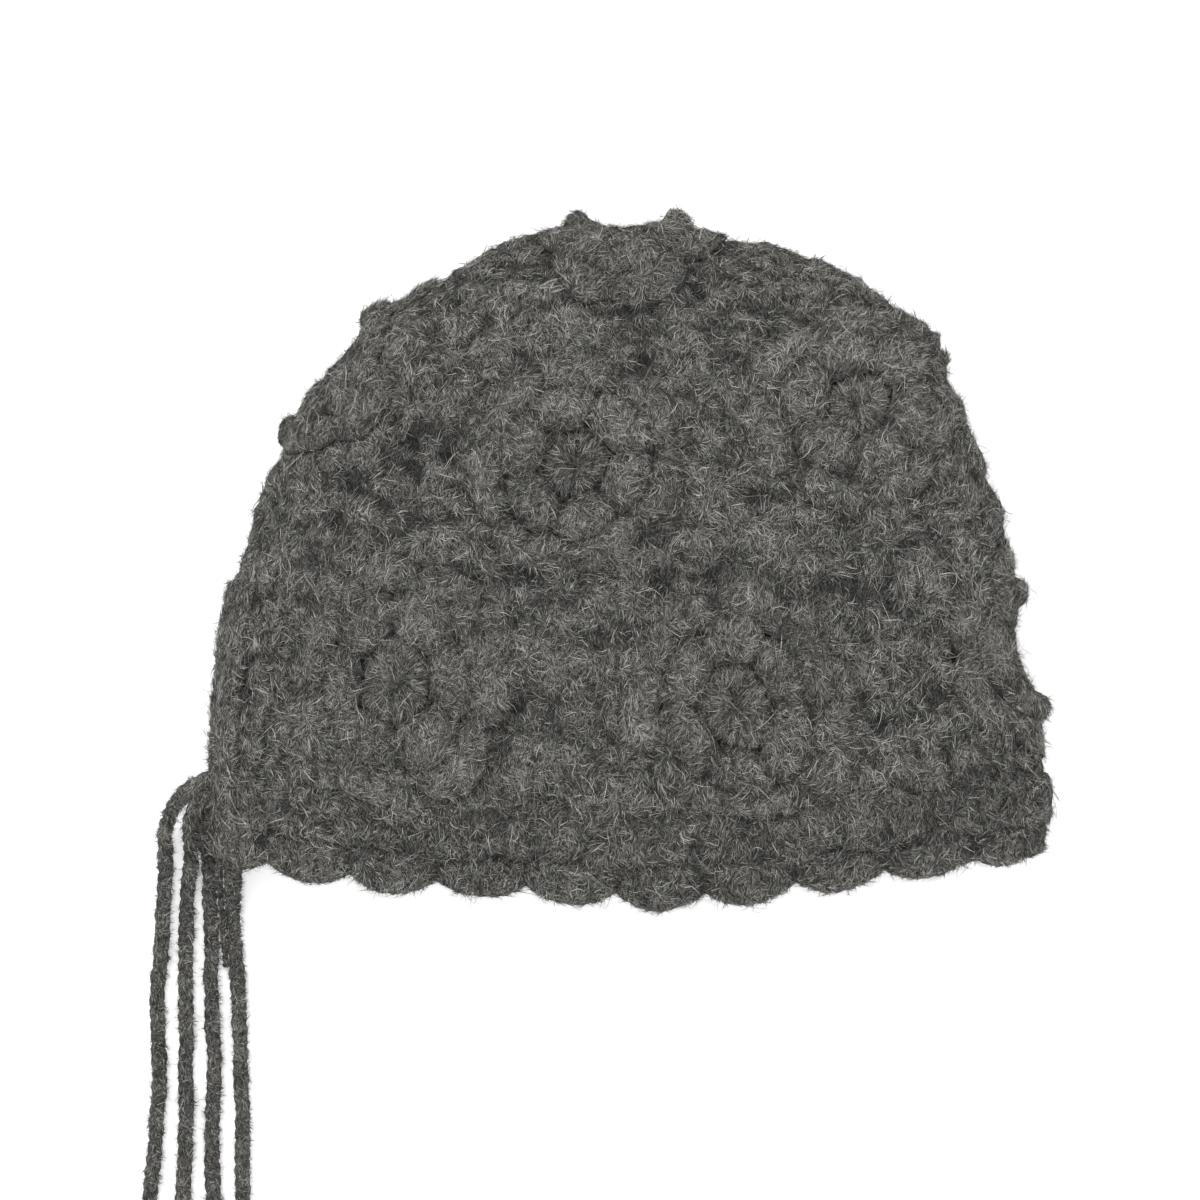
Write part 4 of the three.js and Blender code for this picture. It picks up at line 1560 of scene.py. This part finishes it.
COATS = (
    Coat("crown_fuzz", Wool.CROWN, 165000, (1.6, 4.4), 0.19, 1, 0.2, CALM, ("body",), True),
    Coat("rose_fuzz", Wool.PETAL, 150000, (1.6, 4.4), 0.19, 1, 0.2, BRIGHT, ("roses",)),
    Coat("hidden_fuzz", Wool.PETAL, 14000, (1.4, 3.2), 0.33, 1, 0.26, CALM, ("hidden",)),
    Coat("cord_fuzz", Wool.CORD, 28000, (1.4, 4.2), 0.2, 1, 0.5, CALM, ("cords",)),
    Coat("curled_fuzz", Wool.CROWN, 55000, (2.8, 7.5), 0.17, 2, 0.3, DUSKY, ("body", "roses")),
    Coat("halo_fuzz", Wool.CROWN, 60000, (1.6, 4.2), 0.11, 1, 0.6, CALM, ("body", "roses", "cords")),
    Coat("long_fuzz", Wool.CROWN, 3500, (5.0, 12.0), 0.13, 4, 0.36, PALE, ("body", "roses")),
)


@dataclass
class Fuzz:
    """Loose wool fibres over some pieces, as one mesh of slim ribbons."""

    coat: Coat
    basket: Basket
    seed: int
    # each rose's middle
    middles: tuple[tuple[float, float, float], ...]
    quick_share: float = 0.3
    shelter_radius: float = 31.0
    # the least height above the surface, in metres
    floor_gap: float = 0.0001
    crests: float = 0.45
    # how much paler the fibres are picked on the crests and darker in the hollows: painted light and
    # shade
    relief: float = 0.26
    # under this height a place counts as a hollow
    hollow: float = 0.15
    # how much of a place's share is left underneath, inside the crown and in the hollows
    share_under: float = 0.22
    share_inside: float = 0.25
    share_hollow: float = 0.3
    # the radii round a rose's middle in which its fibres run out from it
    hub_radii: tuple[float, float] = (11.0, 22.0)

    def spokes(self, root: Array, heading: Array, east: Array, north: Array) -> Array:
        """Turn the fibres near a rose's middle so that they run out from it."""
        for middle in self.middles if self.coat.wool is Wool.PETAL else ():
            away = root - np.array(middle)
            far = np.linalg.norm(away, axis=1) / MM
            outward = np.arctan2((away * north).sum(axis=1), (away * east).sum(axis=1))
            inner, outer = self.hub_radii
            loose = 0.38 + 0.5 * smooth((far - inner * 0.8) / (inner * 0.4))
            near = far < outer
            swing = np.mod(heading, math.pi) - math.pi / 2
            heading = np.where(near, outward + swing * loose, heading)
        return heading

    def sample(self, pieces: Sequence[bpy.types.Object], rng: np.random.Generator) -> tuple:
        """Pick places on the pieces, fewer underneath and in the hollows."""
        corners, normals, rises = [], [], []
        for piece in pieces:
            mesh = piece.data
            mesh.calc_loop_triangles()
            tri = read(mesh.loop_triangles, "vertices", 3, np.int64)
            corners.append(read(mesh.vertices, "co", 3, float)[tri])
            normals.append(read(mesh.vertices, "normal", 3, float)[tri])
            rises.append(read(mesh.attributes["rise"].data, "value", 1, np.float32)[tri, 0])
        corner, normal, rise = (np.concatenate(x) for x in (corners, normals, rises))
        cross = np.cross(corner[:, 1] - corner[:, 0], corner[:, 2] - corner[:, 0])
        area = np.linalg.norm(cross, axis=1)
        facing = unit(cross)[:, 2]
        middle = corner.mean(axis=1)
        weight = area * np.where(facing > -0.25, 1.0, self.share_under)
        height = rise.mean(axis=1)
        weight *= (1 - self.crests) + self.crests * height
        weight *= np.where(np.abs(height - INSIDE_RISE) < 1e-4, self.share_inside, 1.0)
        weight *= np.where(height < self.hollow, self.share_hollow, 1.0)
        for hub in self.middles if self.coat.sheltered else ():
            near = np.linalg.norm(middle - np.array(hub), axis=1) < self.shelter_radius * MM
            weight = np.where(near, 0.0, weight)
        total = np.cumsum(weight)
        count = int(self.coat.count * (1.0))
        pick = np.searchsorted(total, rng.random(count) * total[-1])
        pick = np.minimum(pick, len(total) - 1)
        a, b = rng.random((2, count))
        flip = a + b > 1
        a, b = np.where(flip, 1 - a, a), np.where(flip, 1 - b, b)
        bary = np.stack([1 - a - b, a, b], axis=1)[:, :, None]
        place = (corner[pick] * bary).sum(axis=1)
        return place, unit((normal[pick] * bary).sum(axis=1)), height[pick]

    def grow(
        self, root: Array, normal: Array, crest: Array, rng: np.random.Generator
    ) -> list[Array]:
        """Run the fibres out over the wool.

        Args:
            root: where each fibre starts.
            normal: the wool's outward direction there.
            crest: the wool's height there, from 0 to 1.
            rng: what makes them differ.

        Returns:
            The fibres' places at each step, from their roots to their tips.
        """
        coat, n = self.coat, len(root)
        mm = root / MM
        swirl = 3.4 * lumps(mm, 7.0, 81) + 2.2 * lumps(mm, 3.0, 82)
        heading = swirl + rng.normal(0, 0.45, n)
        helper = np.where(np.abs(normal[:, 1:2]) > 0.9, [[1.0, 0, 0]], [[0, 1.0, 0]])
        east = unit(np.cross(helper, normal))
        north = np.cross(normal, east)
        low, high = coat.length
        long = (low + (high - low) * rng.random(n) ** 1.6) * MM
        long = long * (0.6 + 0.4 * smooth(crest / 0.35))
        heading = self.spokes(root, heading, east, north)
        rise = np.abs(rng.normal(0, coat.lift, n)) + 0.03
        curl = rng.normal(0, 0.5, n)
        fall = rng.uniform(0.1, 0.6, n)
        here = root - normal * (0.05 * MM)
        points = [here]
        for step in range(coat.steps):
            turn = heading + curl * step
            climb = rise * (1 - fall * step)
            flat = np.cos(turn)[:, None] * east + np.sin(turn)[:, None] * north
            way = np.cos(climb)[:, None] * flat + np.sin(climb)[:, None] * normal
            here = here + way * (long / coat.steps)[:, None]
            here[:, 2] = np.maximum(here[:, 2], self.floor_gap)
            points.append(here)
        return points

    def ribbons(
        self, points: list[Array], normal: Array, rng: np.random.Generator
    ) -> tuple[Array, Array]:
        """Give the fibres their width.

        Args:
            points: the fibres' places at each step.
            normal: the wool's outward direction at their roots.
            rng: what makes them differ.

        Returns:
            The corners, and the triangles between them.
        """
        coat, n = self.coat, len(normal)
        roll = rng.normal(0, 0.7, n)[:, None]
        side = np.cross(unit(points[-1] - points[0]), normal)
        side = unit(side) * np.cos(roll) + normal * np.sin(roll)
        half = 0.5 * coat.width * MM * rng.uniform(0.6, 1.3, n)[:, None]
        rows = []
        for k, p in enumerate(points[:-1]):
            taper = 0.75 + 0.25 * math.sin(math.pi * (k + 0.4) / coat.steps)
            rows += [p - side * half * taper, p + side * half * taper]
        rows.append(points[-1])
        per = len(rows)
        verts = np.stack(rows, axis=1).reshape(-1, 3)
        faces = []
        for k in range(coat.steps - 1):
            faces += [(2 * k, 2 * k + 1, 2 * k + 3), (2 * k, 2 * k + 3, 2 * k + 2)]
        faces.append((per - 3, per - 2, per - 1))
        base = np.arange(n)[:, None, None] * per
        return verts, (base + np.array(faces)[None]).reshape(-1, 3)

    def build(self, pieces: Sequence[bpy.types.Object]) -> bpy.types.Object:
        """Grow the fibres and dress them."""
        coat, rng = self.coat, np.random.default_rng(self.seed)
        root, normal, crest = self.sample(pieces, rng)
        verts, tris = self.ribbons(self.grow(root, normal, crest, rng), normal, rng)
        mesh = bpy.data.meshes.new(coat.name)
        mesh.from_pydata(verts, (), tris)
        for shade in self.basket.fibres:
            mesh.materials.append(shade)
        # fibres are picked paler on the crests and darker in the hollows, as painted light and shade,
        # plus some tone that differs at random
        crest_light_and_tone = self.relief * (crest - 0.5) + 0.07 * lumps(root / MM, 13.0, 83)
        draw = np.clip(rng.random(len(root)) + crest_light_and_tone, 0.0, 0.999)
        which = np.searchsorted(np.cumsum(coat.shades) / sum(coat.shades), draw, side="right")
        index = np.repeat(which, len(tris) // len(root)).astype(np.int32)
        mesh.polygons.foreach_set("material_index", index)
        shade_smooth(mesh)
        mesh.update()
        LOG.info("%s: %d triangles", coat.name, len(tris))
        return make_piece(coat.name, mesh)


# Studio.


@dataclass
class Studio:
    """The white surface, the soft lights and the camera straight above."""

    form: BonnetForm
    basket: Basket
    frame_width: float = 372.0
    lens: float = 300.0
    sensor: float = 36.0
    photo_middle: tuple[float, float] = (-8.68, 56.1)
    outline_height: float = 26.0

    def camera(self) -> None:
        """Look straight down at the bonnet, as the photo does."""
        data = bpy.data.cameras.new("camera")
        data.lens = self.lens
        data.sensor_width = self.sensor
        data.clip_end = 20.0
        camera = linked("camera", data)
        away = self.frame_width * self.lens / self.sensor + self.outline_height
        x, y = np.array(self.photo_middle) + self.form.shift[:2]
        camera.location = (x * MM, y * MM, away * MM)
        bpy.context.scene.camera = camera

    def lamp(self, name: str, place: tuple[float, float, float], size: float, watts: float) -> None:
        """A soft square lamp that faces the bonnet."""
        data = bpy.data.lights.new(name, "AREA")
        data.shape = "SQUARE"
        data.size = size
        data.energy = watts
        lamp = linked(name, data)
        lamp.location = place
        lamp.rotation_euler = (-Vector(place)).to_track_quat("-Z", "Y").to_euler()

    def build(self) -> None:
        """Lay the floor and hang the lights."""
        bm = bmesh.new()
        bmesh.ops.create_grid(bm, x_segments=1, y_segments=1, size=3.0)
        floor = linked("floor", as_mesh(bm, "floor"))
        floor.data.materials.append(PaleFloor().make())
        self.lamp("key_softbox", (-0.6, 0.7, 1.3), 0.8, 9.0)
        self.lamp("fill_softbox", (0.9, -0.3, 1.3), 1.4, 3.0)
        world = bpy.data.worlds.new("studio")
        world.use_nodes = True
        world.node_tree.nodes["Background"].inputs["Color"].default_value = (1, 1, 1, 1)
        world.node_tree.nodes["Background"].inputs["Strength"].default_value = 1.0
        bpy.context.scene.world = world
        bpy.context.scene.view_settings.view_transform = "Standard"


def main() -> None:
    """Build the bonnet piece by piece and report each."""
    logging.basicConfig(level=logging.INFO, format="%(name)s: %(message)s")
    form = BonnetForm()
    form.find_place()
    basket = Basket()
    studio = Studio(form, basket)
    studio.camera()
    pieces = {"cords": [], "body": [], "roses": [], "hidden": []}
    for node, route in ROUTES.items():
        kind = YARN if node == "yarn_tail" else {}
        pieces["cords"] += Cord(node, route, form, basket, **kind).build()
    pieces["body"] += Body(form, basket).build()
    middles = []
    for number, row in enumerate(ROSES):
        rose = Rose(*row, seed=100 + 10 * number, form=form, basket=basket)
        pieces["hidden" if rose.side < 0 else "roses"] += rose.build()
        middles.append(tuple(form.laid(rose.middle()[None])[0]))
    for number, coat in enumerate(COATS):
        fuzz = Fuzz(coat, basket, seed=900 + number, middles=tuple(middles))
        fuzz.build([piece for group in coat.over for piece in pieces[group]])
    studio.build()


if __name__ == "__main__":
    main()
